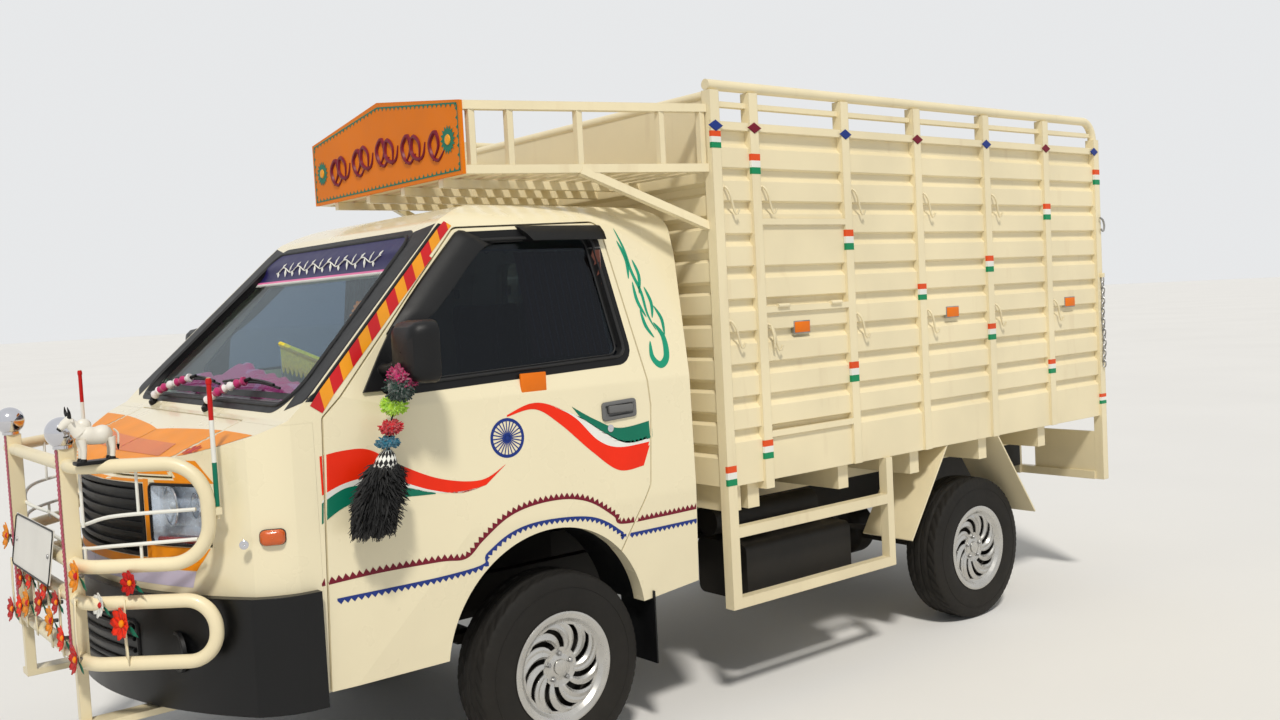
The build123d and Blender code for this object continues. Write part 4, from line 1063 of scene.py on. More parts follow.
def trim_doors():
    """Each door window's black frame, and a rubber seal that leads in to its glass."""
    for name, sign in SIDES:
        body = f"{name}_door"
        skin = Skin(body, "cab_body")
        drawn = rounded(WINDOW)
        window = leaned(drawn, skin, sign)
        loop_band("window_frame", window, 0.0, 0.030, on_side(sign), Skin(body), 5)
        outer = []
        inner = []
        for point, start in zip(window, drawn):
            hit = skin.beside(sign, *point)
            x = min(abs(hit.x) if hit else 0.76, WINDOW_X - WINDOW_LEAN * (point.y - WINDOW_FOOT)) + 0.0015
            outer.append(at(sign * x, *point))
            x -= GLASS_DEPTH
            inner.append(at(sign * x, start.x - DOOR_SLOPE * (DRAWN_X - x), start.y))
        centre = sum(inner, Vector()) / len(inner)
        lift = [p.lerp(centre, 0.004) for p in outer]
        lip = [p.lerp(centre, 0.035) for p in inner]
        mid = [p.lerp(centre, 0.005) for p in inner]
        form = Form()
        form.grid([outer, lift, mid, lip], "gasket", round_u=True)
        for loop, proud, radius in ((outer, 0.001, 0.006), (lip, 0.002, 0.004)):
            form.tube([p + Vector((sign * proud, 0, 0)) for p in loop], radius, "gasket", closed=True)
        form.make(f"{name}_window_seal", body, "black_plastic")


def trim_rear_window():
    form = Form()
    where = (lambda p: at(p[0], 1.0, p[1]), AHEAD)
    seal(form, grown(rounded(REAR_WINDOW), 0.008), where, Skin("cab_body"), 0.008)
    form.make("rear_window_seal", "truck", "black_plastic")


VISOR_TOP = (
    (-0.565, 1.490), (-0.445, 1.620), (-0.292, 1.770), (-0.245, 1.808), (-0.16, 1.822), (0.335, 1.826),
)
VISOR_EDGE = (
    (-0.478, 1.500), (-0.385, 1.563), (-0.235, 1.706), (-0.175, 1.752), (-0.10, 1.771), (0.335, 1.775),
)
VISOR_BULGE = 0.028
VISOR_STEPS = 60
VISOR_THICK = 0.003


def add_visors():
    """Dark rain visors over the top and front edge of each door's window."""
    for name, sign in SIDES:
        skin = Skin(f"{name}_door", "cab_body")
        columns = []
        edges = zip(bent(VISOR_TOP, VISOR_STEPS), bent(VISOR_EDGE, VISOR_STEPS))
        for index, (point, under) in enumerate(edges):
            base = skin.beside(sign, *point)
            if base is None:
                continue
            bulge = VISOR_BULGE * min(1.0, 0.3 + index / 8)
            edge = bulge / VISOR_BULGE * 0.010
            step = under - point
            down = Vector((-sign * WINDOW_LEAN * step.y, step.x, step.y))
            out = Vector((sign, 0, 0))
            bends = (
                (0.001, 0), (edge, 0.06), (bulge * 0.8 + 0.004, 0.5), (bulge + 0.004, 1),
                (bulge - 0.002, 0.985),
            )
            columns.append([base + out * proud + down * share for proud, share in bends])
        form = Form()
        form.grid(list(zip(*columns)), "black_plastic")
        form.make(f"{name}_rain_visor", f"{name}_door", "black_plastic", thick=VISOR_THICK, offset=0)


def add_pillar_tape():
    """Slanted red and yellow tape down each screen pillar."""
    middle = [TAPE_LOW.lerp(TAPE_HIGH, step / TAPE_STEPS) for step in range(TAPE_STEPS + 1)]
    rows = [[p + TAPE_ACROSS * (k / 4 - 0.5) * TAPE_WIDTH for p in middle] for k in range(5)]
    for _, sign in SIDES:
        tape_film(rows, sign, "pillar_tape", "pillar_tape", lift=0.0015)


# Fittings on the cab
LOCK = ((0.013, 0), (0.013, 0.004), (0.010, 0.006), (0.004, 0.006), (0.0, 0.003))
WIPER_SPANS = ((-0.50, -0.03), (0.02, 0.50))
WIPER_Z = 1.335
WIPER_PIVOT_Z = 1.268
WIPER_NUT = ((0.016, -0.004), (0.016, 0.010), (0.011, 0.018), (0.0, 0.019))


def drop(form, start, length, radius):
    """A thread that hangs down from a point."""
    sway = 0.001
    path = []
    for step in range(7):
        share = step / 6
        path.append(start + Vector((sway * math.sin(share * 2.4), sway * 0.6 * share, -length * share)))
    form.tube(path, [radius] * 6 + [radius * 0.5], "yellow_thread", 4)


def pompom(form, centre, radius, key, strands, flat):
    """A ball of wool: a core and short strands that stand out of it."""
    form.ball(centre, radius * 0.72, key, scale=(1, 1, flat))
    for _ in range(strands):
        lean = math.acos(chance.uniform(-1, 1))
        turn = chance.uniform(0, 2 * math.pi)
        ray = spoke(turn) * math.sin(lean) + UP * math.cos(lean) * flat
        ray *= radius
        start = centre + ray * 0.5
        end = centre + ray * chance.uniform(0.88, 1.05)
        form.tube([start, end], [radius * 0.10, radius * 0.045], key, 4)


def add_wipers():
    """Two wipers whose arms wear banded knitted sleeves."""
    for index, (x0, x1) in enumerate(WIPER_SPANS):
        form = Form()
        blade = []
        for step in range(25):
            share = step / 24
            z = WIPER_Z + 0.012 * math.sin(share * math.pi)
            hit, normal, _ = GLASS_SKIN.cast(at(x0 + (x1 - x0) * share, FAR_AHEAD, z), BEHIND)
            blade.append(hit + normal * 0.006)
        form.tube(blade, 0.0045, "gasket", 6)
        form.tube([p + Vector((0, -0.012, 0.010)) for p in blade[1:-1]], 0.0048, "black_plastic", 6)
        pivot = GLASS_SKIN.ahead(x0 + 0.04 + 0.05 * index, WIPER_PIVOT_Z)
        form.lathe(WIPER_NUT, pivot, (0, -0.7, 0.7), "black_plastic", 16)
        start = pivot + Vector((0, -0.010, 0.014))
        middle = blade[13] + Vector((0, -0.02, 0.014))
        arm = [start, start.lerp(middle, 0.35) + Vector((0, -0.012, 0.012)), middle]
        form.tube(bent(arm, 12), 0.006, "black_plastic", 6)
        sleeve = bent(arm, 40)[4:36]
        widths = [0.013 + 0.0035 * math.sin(step * 1.3) for step in range(len(sleeve))]
        form.tube(sleeve, widths, "sleeve", 10)
        form.make(f"wiper_{index + 1}", "truck", "black_plastic")


HANDLE = ((0.193, 1.143, 0.012), (0.342, 1.150, 0.012), (0.342, 1.214, 0.012), (0.193, 1.208, 0.012))
HANDLE_STEPS = ((0.0, 0.0005), (0.0, 0.006), (0.004, 0.009), (0.012, 0.009), (0.017, 0.0025), (0.024, 0.002))
HANDLE_MIDDLE = (0.268, 1.179)
PADDLE = (0.215, 1.165)
PADDLE_LONG = 0.105
LOCK_PLACE = (0.225, 1.118)
SIDE_REFLECTOR = (-0.074, 1.302)
REFLECTOR_CORNERS = ((-0.002, -0.05, 1.271), (0.008, 0.05, 1.334))


def add_door_fittings():
    """Each door's handle in its pocket, lock and side reflector."""
    for name, sign in SIDES:
        skin = Skin(f"{name}_door")
        form = Form()
        pocket = rounded(HANDLE, 0.008)

        def raised(spots, proud):
            return [skin.beside(sign, *p) + Vector((sign * proud, 0, 0)) for p in spots]

        rows = [raised(grown(pocket, -inset), proud) for inset, proud in HANDLE_STEPS]
        form.grid(rows, "grey_paint", round_u=True)
        ring = raised(grown(pocket, -0.022), 0.002)
        centre = raised([HANDLE_MIDDLE], 0.002)
        form.grid([ring, centre * len(ring)], "black_plastic", round_u=True)
        low = skin.beside(sign, *PADDLE)
        form.block((low.x + sign * 0.004, low.y, 1.170), (low.x + sign * 0.018, low.y + PADDLE_LONG, 1.196),
                   "grey_paint", 0.005)
        form.lathe(LOCK, skin.beside(sign, *LOCK_PLACE), (sign, 0, 0), "chrome", 20)
        spot = skin.beside(sign, *SIDE_REFLECTOR)
        corners = [(spot.x + sign * dx, spot.y + dy, z) for dx, dy, z in REFLECTOR_CORNERS]
        form.block(*corners, "flat_orange", 0.003)
        form.make(f"{name}_door_fittings", f"{name}_door", "black_plastic")


SAIL = ((-0.676, 1.322), (-0.50, 1.322), (-0.492, 1.500), (-0.545, 1.512), (-0.60, 1.437))
SAIL_X = 0.8095
MIRROR_ARM = ((0.792, -0.60, 1.385), (0.825, -0.590, 1.385), (0.86, -0.575, 1.40))
MIRROR_LOW = (0.840, 1.345)
MIRROR_HIGH = (1.012, 1.530)
# Sections from the open face forward over the dome: how far along, and their share of the full size
MIRROR_SHELL = (
    (-0.526, 0.955), (-0.522, 0.985), (-0.526, 1.0), (-0.555, 0.99), (-0.582, 0.93), (-0.600, 0.78),
    (-0.606, 0.5),
    (-0.607, 0.02),
)
MIRROR_GLASS = ((-0.528, 0.957), (-0.530, 0.95), (-0.530, 0.02))


def add_mirrors():
    """Each mirror: a sail panel over the window's front corner, a stout arm and a domed housing."""
    outline = oblong(MIRROR_LOW, MIRROR_HIGH, 0.034, 0.012)
    centre = (Vector(MIRROR_LOW) + Vector(MIRROR_HIGH)) / 2
    for name, sign in SIDES:

        def sections(rows):
            loops = [(along, [centre.lerp(q, share) for q in outline]) for along, share in rows]
            return [[at(sign * p.x, along, p.y) for p in loop] for along, loop in loops]

        mirror = Form()
        flat = [(along + AXLE_Y, z - WINDOW_FOOT) for along, z in SAIL]
        slant = Vector((-sign * WINDOW_LEAN, 0, 1))
        mirror.prism(flat, (sign * SAIL_X, 0, WINDOW_FOOT), BEHIND, slant, sign * 0.010, "black_plastic")
        mirror.tube(bent(mirrored(sign, [Vector(p) for p in MIRROR_ARM]), 10), 0.020, "black_plastic", 12)
        mirror.grid(sections(MIRROR_SHELL), "black_plastic", round_u=True)
        mirror.make(f"{name}_mirror_housing", f"{name}_door", "black_plastic", replaces=(f"{name}_mirror",))
        plate = Form()
        plate.grid(sections(MIRROR_GLASS), "chrome", round_u=True)
        plate.make(f"{name}_mirror_glass", f"{name}_door", "chrome")


TASSEL_X = 0.885
TASSEL = (
    (-0.590, 1.362, 0.050, "magenta_wool", 170, 0.9), (-0.600, 1.335, 0.050, "green_wool", 170, 0.9),
    (-0.616, 1.284, 0.044, "lime_wool", 170, 0.8), (-0.631, 1.220, 0.040, "red_wool", 140, 0.62),
    (-0.645, 1.176, 0.040, "teal_wool", 130, 0.55),
)
COLLAR_RADII = (0.012, 0.023, 0.029, 0.033, 0.035, 0.030)
COLLAR_AROUND = 14
SHORT_STRANDS = 1300
LONG_STRANDS = 620


def checked_collar(form, top):
    """The cone above a tassel, in rows of black and white diamonds."""
    rows = len(COLLAR_RADII) - 1

    def spot(row, step):
        turn = 2 * math.pi * (step + 0.5 * row) / COLLAR_AROUND
        out = Vector((math.cos(turn), math.sin(turn), 0)) * COLLAR_RADII[row]
        return top + out + Vector((0, -0.012, -0.058)) * row / rows

    for row in range(rows):
        keys = ("white_paint", "hair") if row % 2 == 0 else ("hair", "white_paint")
        for step in range(COLLAR_AROUND):
            form.face([spot(row, step), spot(row, step + 1), spot(row + 1, step)], keys[0])
            form.face([spot(row + 1, step - 1), spot(row, step), spot(row + 1, step)], keys[1])


def add_tassels():
    """A hanging ornament below each mirror: wool balls, a checked cone and a long bushy tassel."""
    for name, sign in SIDES:
        form = Form()
        x = TASSEL_X * sign
        knot = at(x, -0.655, 1.125)
        form.tube(even([at(x, -0.590, 1.40), knot], 8), 0.003, "hair", 6)
        for index, (along, z, radius, key, strands, flat) in enumerate(TASSEL):
            shift = Vector((0.032 * sign, -0.012, 0)) if index < 2 else Vector()
            pompom(form, at(x, along, z) + shift, radius, key, strands, flat)
        checked_collar(form, at(x, -0.648, 1.155))
        for _ in range(SHORT_STRANDS):
            out = spoke(chance.uniform(0, 2 * math.pi))
            down = chance.uniform(0.06, 1)
            bulge = 0.030 + 0.040 * math.sin(math.pi * min(1, down * 0.72 + 0.12))
            start = knot.lerp(at(x, -0.712, 0.925), down) + out * bulge * 0.72
            reach = out * bulge * chance.uniform(0.25, 0.52)
            tip = start + reach + Vector((0, chance.uniform(-0.008, 0.008), -chance.uniform(0.004, 0.030)))
            middle = start.lerp(tip, 0.5) + Vector((0, 0, 0.003))
            form.tube([start, middle, tip], [0.0030, 0.0022, 0.0009], "hair", 3)
        for _ in range(LONG_STRANDS):
            out = spoke(chance.uniform(0, 2 * math.pi))
            share = chance.uniform(0, 1)
            start = knot.lerp(at(x, -0.683, 1.03), share) + out * chance.uniform(0.004, 0.028)
            end = at(x, -0.712, chance.uniform(0.900, 0.955)) + out * chance.uniform(0.012, 0.066)
            middle = start.lerp(end, 0.5) + out * chance.uniform(0.006, 0.026)
            path = even(smooth([start, middle, end], 4), 6)
            for step in range(1, 6):
                path[step] = path[step] + Vector((chance.uniform(-1, 1), chance.uniform(-1, 1), 0)) * 0.004
            form.tube(path, [0.0026] * 5 + [0.0010], "hair", 3)
        form.make(f"{name}_tassel", f"{name}_door")


# Lamps
LAMP_CORNERS = ((0.402, 0.907, 0.018), (0.620, 0.907, 0.030), (0.620, 1.088, 0.030), (0.402, 1.088, 0.018))
LAMP_MIDDLE = Vector((0.511, 0.998))
LAMP_WALL = ((0.002, 0.004), (0.004, 0.022), (0.010, 0.028))
LENS_THICK = 0.002
BOWLS = (((0.478, 1.022), 0.056), ((0.570, 1.026), 0.036))
BOWL = (
    (1, 0.0), (1.06, 0.0), (1.06, 0.004), (0.99, 0.002), (0.84, 0.008), (0.55, 0.015), (0.22, 0.019),
    (0.0, 0.020),
)


def add_headlamps():
    """Each lamp: a curved clear lens over a bright housing with reflector bowls, bulb and indicator."""
    form = Form()
    glass = Form()
    outline = rounded(LAMP_CORNERS, 0.008)
    for _, sign in SIDES:

        def front(spots, back):
            place, way = on_front(sign)
            return [LAMP_SKIN.spot(place(p) - way, way) + way * back for p in spots]

        rows = [front([LAMP_MIDDLE.lerp(p, step / 8 * 0.999) for p in outline], 0.0) for step in range(9)]
        glass.grid(rows, "lamp_glass", round_u=True)
        form.tube(front(grown(outline, -0.002), 0.001), 0.0045, "black_plastic", closed=True)
        rows = [front(grown(outline, -inset), depth) for inset, depth in LAMP_WALL]
        for share in (0.3, 0.6, 0.99):
            rows.append(front([p.lerp(LAMP_MIDDLE, share) for p in grown(outline, -0.012)], 0.028))
        form.grid(rows, "lamp_silver", round_u=True)
        for place, radius in BOWLS:
            mouth = front([place], 0.008)[0]
            form.lathe([(radius * share, depth) for share, depth in BOWL], mouth, BEHIND, "bowl_silver", 36)
            form.ball(mouth + BEHIND * 0.010, radius * 0.2, "white_lens")
        for line in range(9):
            z = 0.958 - line * 0.0028
            line_points = [(0.425 + 0.17 * s / 10, z) for s in range(11)]
            form.tube(front(line_points, 0.024), 0.0011, "lamp_silver", 4)
        form.tube(front([(0.424 + 0.165 * s / 12, 0.921) for s in range(13)], 0.012), 0.010, "red_lens", 10)
        form.tube(front([(0.609, 0.930 + 0.135 * s / 12) for s in range(13)], 0.008), 0.006, "red_lens", 8)
    form.make("headlamp_bowls", "truck", "chrome")
    glass.make("headlamp_lenses", "truck", "lamp", replaces=("headlamps",), thick=LENS_THICK)


INDICATOR = ((-0.992, 0.912), (-0.930, 0.957))
INDICATOR_MIDDLE = Vector((-0.961, 0.9345))
INDICATOR_RIM = ((1.06, 0.001), (1.04, 0.005), (1.0, 0.006))
INDICATOR_LENS = ((1.0, 0.005), (0.93, 0.012), (0.75, 0.016), (0.4, 0.018), (0.02, 0.0185))


def add_indicators():
    """Rounded amber lenses with a dark rim on the cab's front corners."""
    outline = oblong(*INDICATOR, 0.014, 0.006)
    nose = Skin("cab_nose")
    for name, sign in SIDES:
        form = Form()
        for sections, key in ((INDICATOR_RIM, "gasket"), (INDICATOR_LENS, "orange_lens")):
            rows = []
            for share, proud in sections:
                out = Vector((sign, -0.6, 0)) * proud
                rows.append([nose.beside(sign, *INDICATOR_MIDDLE.lerp(p, share)) + out for p in outline])
            form.grid(rows, key, round_u=True)
        replaced = ("side_indicators",) if sign > 0 else ()
        form.make(f"{name}_indicator_lens", "truck", "orange_plastic", replaces=replaced)


TAIL_PARTS = ((0.563, 0.630, "white_lens"), (0.634, 0.704, "red_lens"), (0.708, 0.777, "orange_lens"))
REAR_REFLECTOR = ((0.028, 0.0), (0.028, 0.005), (0.022, 0.008), (0.0, 0.009))


def add_tail_lamps():
    """Three-part rear lamps on the low bar, and round reflectors."""
    form = Form()
    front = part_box("tail_lamps")[0][1]
    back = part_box("tail_lamps")[1][1]
    for _, sign in SIDES:
        for x0, x1, key in TAIL_PARTS:
            form.block((sign * x0, front + 0.006, 0.616), (sign * x1, back + 0.004, 0.694), key, 0.005)
            for line in range(6):
                ends = sorted((sign * x0, sign * x1))
                z = 0.626 + line * 0.0116
                ends = [(ends[0] + 0.006, back + 0.0045, z), (ends[1] - 0.006, back + 0.0045, z)]
                form.tube(ends, 0.0016, key, 5)
        low = (sign * 0.556, front, 0.606)
        form.block(low, (sign * 0.784, front + 0.012, 0.704), "black_plastic", 0.004)
        form.lathe(REAR_REFLECTOR, (sign * 0.52, front - 0.002, 0.66), BEHIND, "red_lens", 28)
    form.make("tail_lamp_lenses", "truck", "tail_lamp", replaces=("tail_lamps",))


# Front guard
POST_X = 0.35
POST_FRONT = -1.4185
RIBBON_LOW = 0.60
RIBBON_TEETH = 44
RIBBON_PITCH = 0.0139
RIBBON_HALF = 0.0125
RIBBON_TIP = 0.0205
RODS = (
    (((0.02, 0.985), (0.34, 0.985), (0.50, 1.02), (0.66, 1.03)), 0.0055),
    (((0.02, 0.915), (0.34, 0.918), (0.50, 0.935), (0.66, 0.945)), 0.0055),
    (((0.40, 0.985), (0.40, 1.165)), 0.0045),
    (((0.55, 1.024), (0.55, 1.165)), 0.0045),
    (((0.40, 0.88), (0.40, 0.922)), 0.0045),
    (((0.55, 0.88), (0.55, 0.938)), 0.0045),
)
BALL_NECK = ((0.026, -0.046), (0.026, -0.036), (0.020, -0.030), (0.018, -0.024))


def swept(x):
    """How far back the guard bends at a distance from the middle."""
    return max(0.0, x - 0.45) / 0.25


def add_post_ribbons():
    """Toothed ribbon with small diamonds up both posts."""
    for name, sign in SIDES:
        form = Form()
        x = POST_X * sign
        for index in range(RIBBON_TEETH):
            z0 = RIBBON_LOW + index * RIBBON_PITCH
            z1 = z0 + RIBBON_PITCH
            middle = (z0 + z1) / 2

            def face(corners, key, proud=0.0):
                form.face([at(x + dx, POST_FRONT - proud, z) for dx, z in corners], key)

            for edge in (-1, 1):
                base = edge * RIBBON_HALF
                face(((base, z0), (edge * RIBBON_TIP, middle), (base, z1)), "crimson_paint")
            corners = ((-RIBBON_HALF, z0), (RIBBON_HALF, z0), (RIBBON_HALF, z1), (-RIBBON_HALF, z1))
            face(corners, "crimson_paint")
            diamond = ((-0.0035, middle), (0, z0 + 0.003), (0.0035, middle), (0, z1 - 0.003))
            face(diamond, "pink_paint", 0.0004)
        form.make(f"{name}_post_ribbon", "truck")


def add_guard_trim():
    """White rods across the guard's loops and chrome on the posts' balls."""
    rods = Form()
    balls = Form()
    for _, sign in SIDES:
        for points, radius in RODS:
            path = [at(sign * x, -1.372 + 0.28 * swept(x), z) for x, z in points]
            rods.tube(bent(path, 30) if len(path) > 2 else path, radius, "white_paint")
        centre = at(sign * POST_X, -1.40, 1.260)
        balls.ball(centre, 0.045, "chrome", rings=24, sides=40)
        balls.lathe(BALL_NECK, centre, UP, "chrome", 24)
    rods.make("guard_rods", "truck", "body_paint")
    balls.make("guard_ball_chrome", "truck", "chrome", replaces=("guard_balls",))


PETALS = 8
PETAL_STEPS = 5
HEART = ((0.26, 0.0), (0.22, 0.16), (0.10, 0.24), (0.0, 0.25))
RIVET = ((0.006, -0.012), (0.006, 0.004), (0.0, 0.004))


def flower(form, centre, radius, key, heart, normal):
    """A pressed metal flower: cupped petals round a domed heart."""
    normal = Vector(normal).normalized()
    u = normal.orthogonal().normalized()
    for out in circle(Vector(), u, normal.cross(u), 1, PETALS):
        side = normal.cross(out)
        rows = []
        for step in range(PETAL_STEPS + 1):
            share = step / PETAL_STEPS
            width = side * radius * 0.36 * math.sin(math.pi * (0.12 + 0.80 * share))
            edge = normal * radius * 0.05
            middle = centre + (out * (0.15 + 0.85 * share) + normal * (0.10 + 0.20 * share ** 2)) * radius
            rows.append([middle - width + edge, middle, middle + width + edge])
        form.grid(rows, key)
    profile = [(r * radius, h * radius) for r, h in HEART]
    form.lathe(profile, centre + normal * radius * 0.08, normal, heart, 14)
    form.lathe(RIVET, centre, normal, "galvanised", 8)


FLOWER_PAINTS = (
    ("hood_amber", "red_paint"), ("red_paint", "hood_amber"), ("orange_paint", "hood_amber"),
    ("white_paint", "red_paint"),
)
# Distance from the middle, height, radius and which paints
FLOWERS = (
    (0.46, 0.860, 0.046, 0), (0.56, 0.835, 0.036, 1), (0.54, 0.720, 0.046, 2), (0.42, 0.615, 0.042, 1),
    (0.02, 0.712, 0.042, 1), (0.16, 0.680, 0.046, 0), (0.28, 0.650, 0.038, 2), (0.50, 0.775, 0.036, 3),
    (0.10, 0.770, 0.036, 2), (0.24, 0.750, 0.036, 1),
)
FLAT_BARS = (0.10, 0.24, 0.42, 0.54)
FLAT_BAR_TOP = 0.79
FLAT_BAR_HALF = 0.011


def add_flowers():
    """Pressed metal flowers with leaves on flat bars between the guard's lower tubes."""
    form = Form()
    bars = Form()
    for _, sign in SIDES:
        for x, z, radius, kind in FLOWERS:
            if x < 0.05 and sign < 0:
                continue
            normal = Vector((0.75 * swept(x) * sign, -1, 0.1)).normalized()
            spot = at(sign * x, -1.419 + 0.28 * swept(x), z)
            flower(form, spot, radius, *FLOWER_PAINTS[kind], normal)
            side = normal.cross(UP).normalized()
            for lean in (-1, 1):
                tip = spot + side * lean * radius * 1.5 - UP * radius * 0.7
                middle = spot.lerp(tip, 0.6)
                width = UP * radius * 0.24
                bends = (middle + width, middle - normal * 0.004, middle - width)
                form.grid([[spot, bend, tip] for bend in bends], "green_paint")
        for x in FLAT_BARS:
            y = -1.414 + 0.28 * swept(x)
            low = 0.585 if x < 0.5 else 0.60
            bends = ((y, low), (y - 0.003, (low + FLAT_BAR_TOP) / 2), (y, FLAT_BAR_TOP))
            run = [at(sign * x, along, z) for along, z in bends]
            edges = [Vector((dx, 0, 0)) for dx in (-FLAT_BAR_HALF, FLAT_BAR_HALF)]
            bars.grid([[p + edge for p in even(run, 8)] for edge in edges], "body_paint")
    form.make("guard_flowers", "truck", thick=0.001)
    bars.make("guard_flat_bars", "truck", "body_paint", thick=0.003)


BULL_FOOT = (0.50, -1.350, 1.185)
BULL_SIZE = 0.115
BULL_BODY = (
    0.010, 0.018, 0.023, 0.026, 0.027, 0.026, 0.025, 0.025, 0.026, 0.027, 0.027, 0.024, 0.018, 0.008,
)
# Tubes in the middle: points in shares of the bull's size, radii, key, sides
BULL_MIDDLE = (
    (((0, -0.42, 0.66), (0, -0.25, 0.66), (0, 0.0, 0.60), (0, 0.25, 0.62), (0, 0.42, 0.60)),
     BULL_BODY, "bull_white", 14),
    (((0, -0.30, 0.72), (0, -0.46, 0.90), (0, -0.56, 1.00)),
     (0.024, 0.022, 0.020, 0.018, 0.016, 0.015, 0.012), "bull_white", 12),
    (((0, 0.46, 0.72), (0, 0.56, 0.60), (0, 0.54, 0.32)), (0.003,) * 8, "bull_white", 6),
    (((0.0, -0.35, 0.98), (0.12, -0.38, 0.80), (0, -0.42, 0.66), (-0.12, -0.38, 0.80), (0, -0.35, 0.98)),
     (0.0028,) * 20, "red_bead", 6),
)
BULL_STRAIGHT = (
    (((0, -0.52, 1.02), (0, -0.66, 0.94), (0, -0.76, 0.84)), (0.016, 0.012, 0.008), "bull_white", 12),
    (((0, -0.75, 0.85), (0, -0.79, 0.81)), (0.0085, 0.006), "black_paint", 10),
    (((0, 0.54, 0.34), (0, 0.54, 0.20)), (0.005, 0.002), "black_paint", 6),
)
BULL_HORN = ((0.07, -0.54, 1.10), (0.18, -0.56, 1.22), (0.14, -0.58, 1.36))
BULL_HORN_RADII = (0.006, 0.0055, 0.005, 0.0045, 0.004, 0.003, 0.002, 0.001)
BULL_LEGS = (-0.30, 0.36)
BULL_PLINTH = ((-0.024, -0.056, -0.010), (0.024, 0.056, 0.001))


def add_bull():
    """A small standing bull cast in white on the guard's top tube, with a plain base."""
    form = Form()
    foot = at(*BULL_FOOT)

    def spots(points, side=1):
        return [foot + Vector((side * x, y, z)) * BULL_SIZE for x, y, z in points]

    for points, radii, key, sides in BULL_MIDDLE:
        form.tube(bent(spots(points), len(radii)), radii, key, sides)
    for points, radii, key, sides in BULL_STRAIGHT:
        form.tube(spots(points), radii, key, sides)
    form.ball(spots([(0, -0.22, 0.88)])[0], 0.019, "bull_white", (0.8, 1.1, 1.0))
    for side in (-1, 1):
        form.tube(bent(spots(BULL_HORN, side), 8), BULL_HORN_RADII, "black_paint")
        form.tube(spots(((0.10, -0.50, 1.04), (0.24, -0.50, 1.0)), side), (0.006, 0.002), "bull_white")
        for y in BULL_LEGS:
            leg = ((0.12, y, 0.55), (0.13, y + 0.02, 0.28), (0.13, y, 0.06))
            form.tube(spots(leg, side), (0.012, 0.008, 0.007), "bull_white", 10)
            hoof = ((0.13, y, 0.07), (0.13, y - 0.01, 0.0))
            form.tube(spots(hoof, side), (0.008, 0.010), "black_paint", 10)
    plinth = [foot + Vector(corner) for corner in BULL_PLINTH]
    form.block(*plinth, "black_paint", 0.003)
    form.make("bull_figure", "truck")


POLE_X = 0.70
POLE_ALONG = -1.089
POLE_PARTS = ((1.035, 1.16, "green_paint"), (1.16, 1.28, "white_paint"), (1.28, 1.392, "red_paint"))
POLE_TIP = ((0.0, 0.0005), (0.006, 0.0), (0.0085, -0.006), (0.0085, -0.016), (0.0068, -0.018))


def colour_poles():
    """The guide poles' painted lengths: red tips, white middles, green feet."""
    form = Form()
    for _, sign in SIDES:
        x = POLE_X * sign
        for z0, z1, key in POLE_PARTS:
            form.tube([at(x, POLE_ALONG, z0), at(x, POLE_ALONG, z1)], 0.0068, key, 14)
        form.lathe(POLE_TIP, at(x, POLE_ALONG, 1.399), UP, "red_paint", 16)
    form.make("pole_colours", "truck")


# Load body. How far along its posts stand, and the faces of posts and sheet
POST_YS = (0.742, 0.939, 1.451, 1.912, 2.410, 2.892, 3.3455)
POST_HALF = 0.0225
BODY_X = 0.870
SHEET_X = 0.858
# Which post, and the band's top and foot
BANDS = (
    (0, 2.153, 2.091), (0, 0.922, 0.849), (1, 2.076, 2.001), (1, 0.997, 0.926), (2, 1.791, 1.71),
    (2, 1.257, 1.176), (3, 1.558, 1.489), (4, 1.669, 1.596), (4, 1.36, 1.287), (5, 1.909, 1.833),
    (5, 1.161, 1.094), (6, 2.084, 2.009), (6, 0.953, 0.902),
)
BAND_KEYS = ("band_orange", "white_paint", "band_green")
BAND_PROUD = 0.0008
BAND_DEPTH = 0.0115
DIAMOND_Z = 2.172
DIAMOND_HALF = (0.037, 0.021)
HOOKS = (
    (0, 1.95), (1, 1.954), (2, 1.952), (3, 1.943), (4, 1.945), (0, 1.455), (1, 1.433), (2, 1.45), (3, 1.443),
    (4, 1.445), (5, 1.445),
)
# A hook's bends: share of its reach outward, along and up from its root
HOOK = ((0, -0.012, 0), (0.6, -0.008, -0.002), (1, 0.004, -0.03), (0.8, 0.02, -0.075), (0.9, 0.034, -0.102),
        (1.3, 0.040, -0.082))
HOOK_REACH = 0.020
REFLECTORS = ((1.162, 1.415), (2.128, 1.427), (3.076, 1.431))
FLAP_HINGES = (1.05, 1.35)
FLAP_STAY = ((0.874, 0.976, 1.433), (0.882, 0.982, 1.39), (0.876, 0.99, 1.345))
RAILS_Z = (2.19, 2.16)


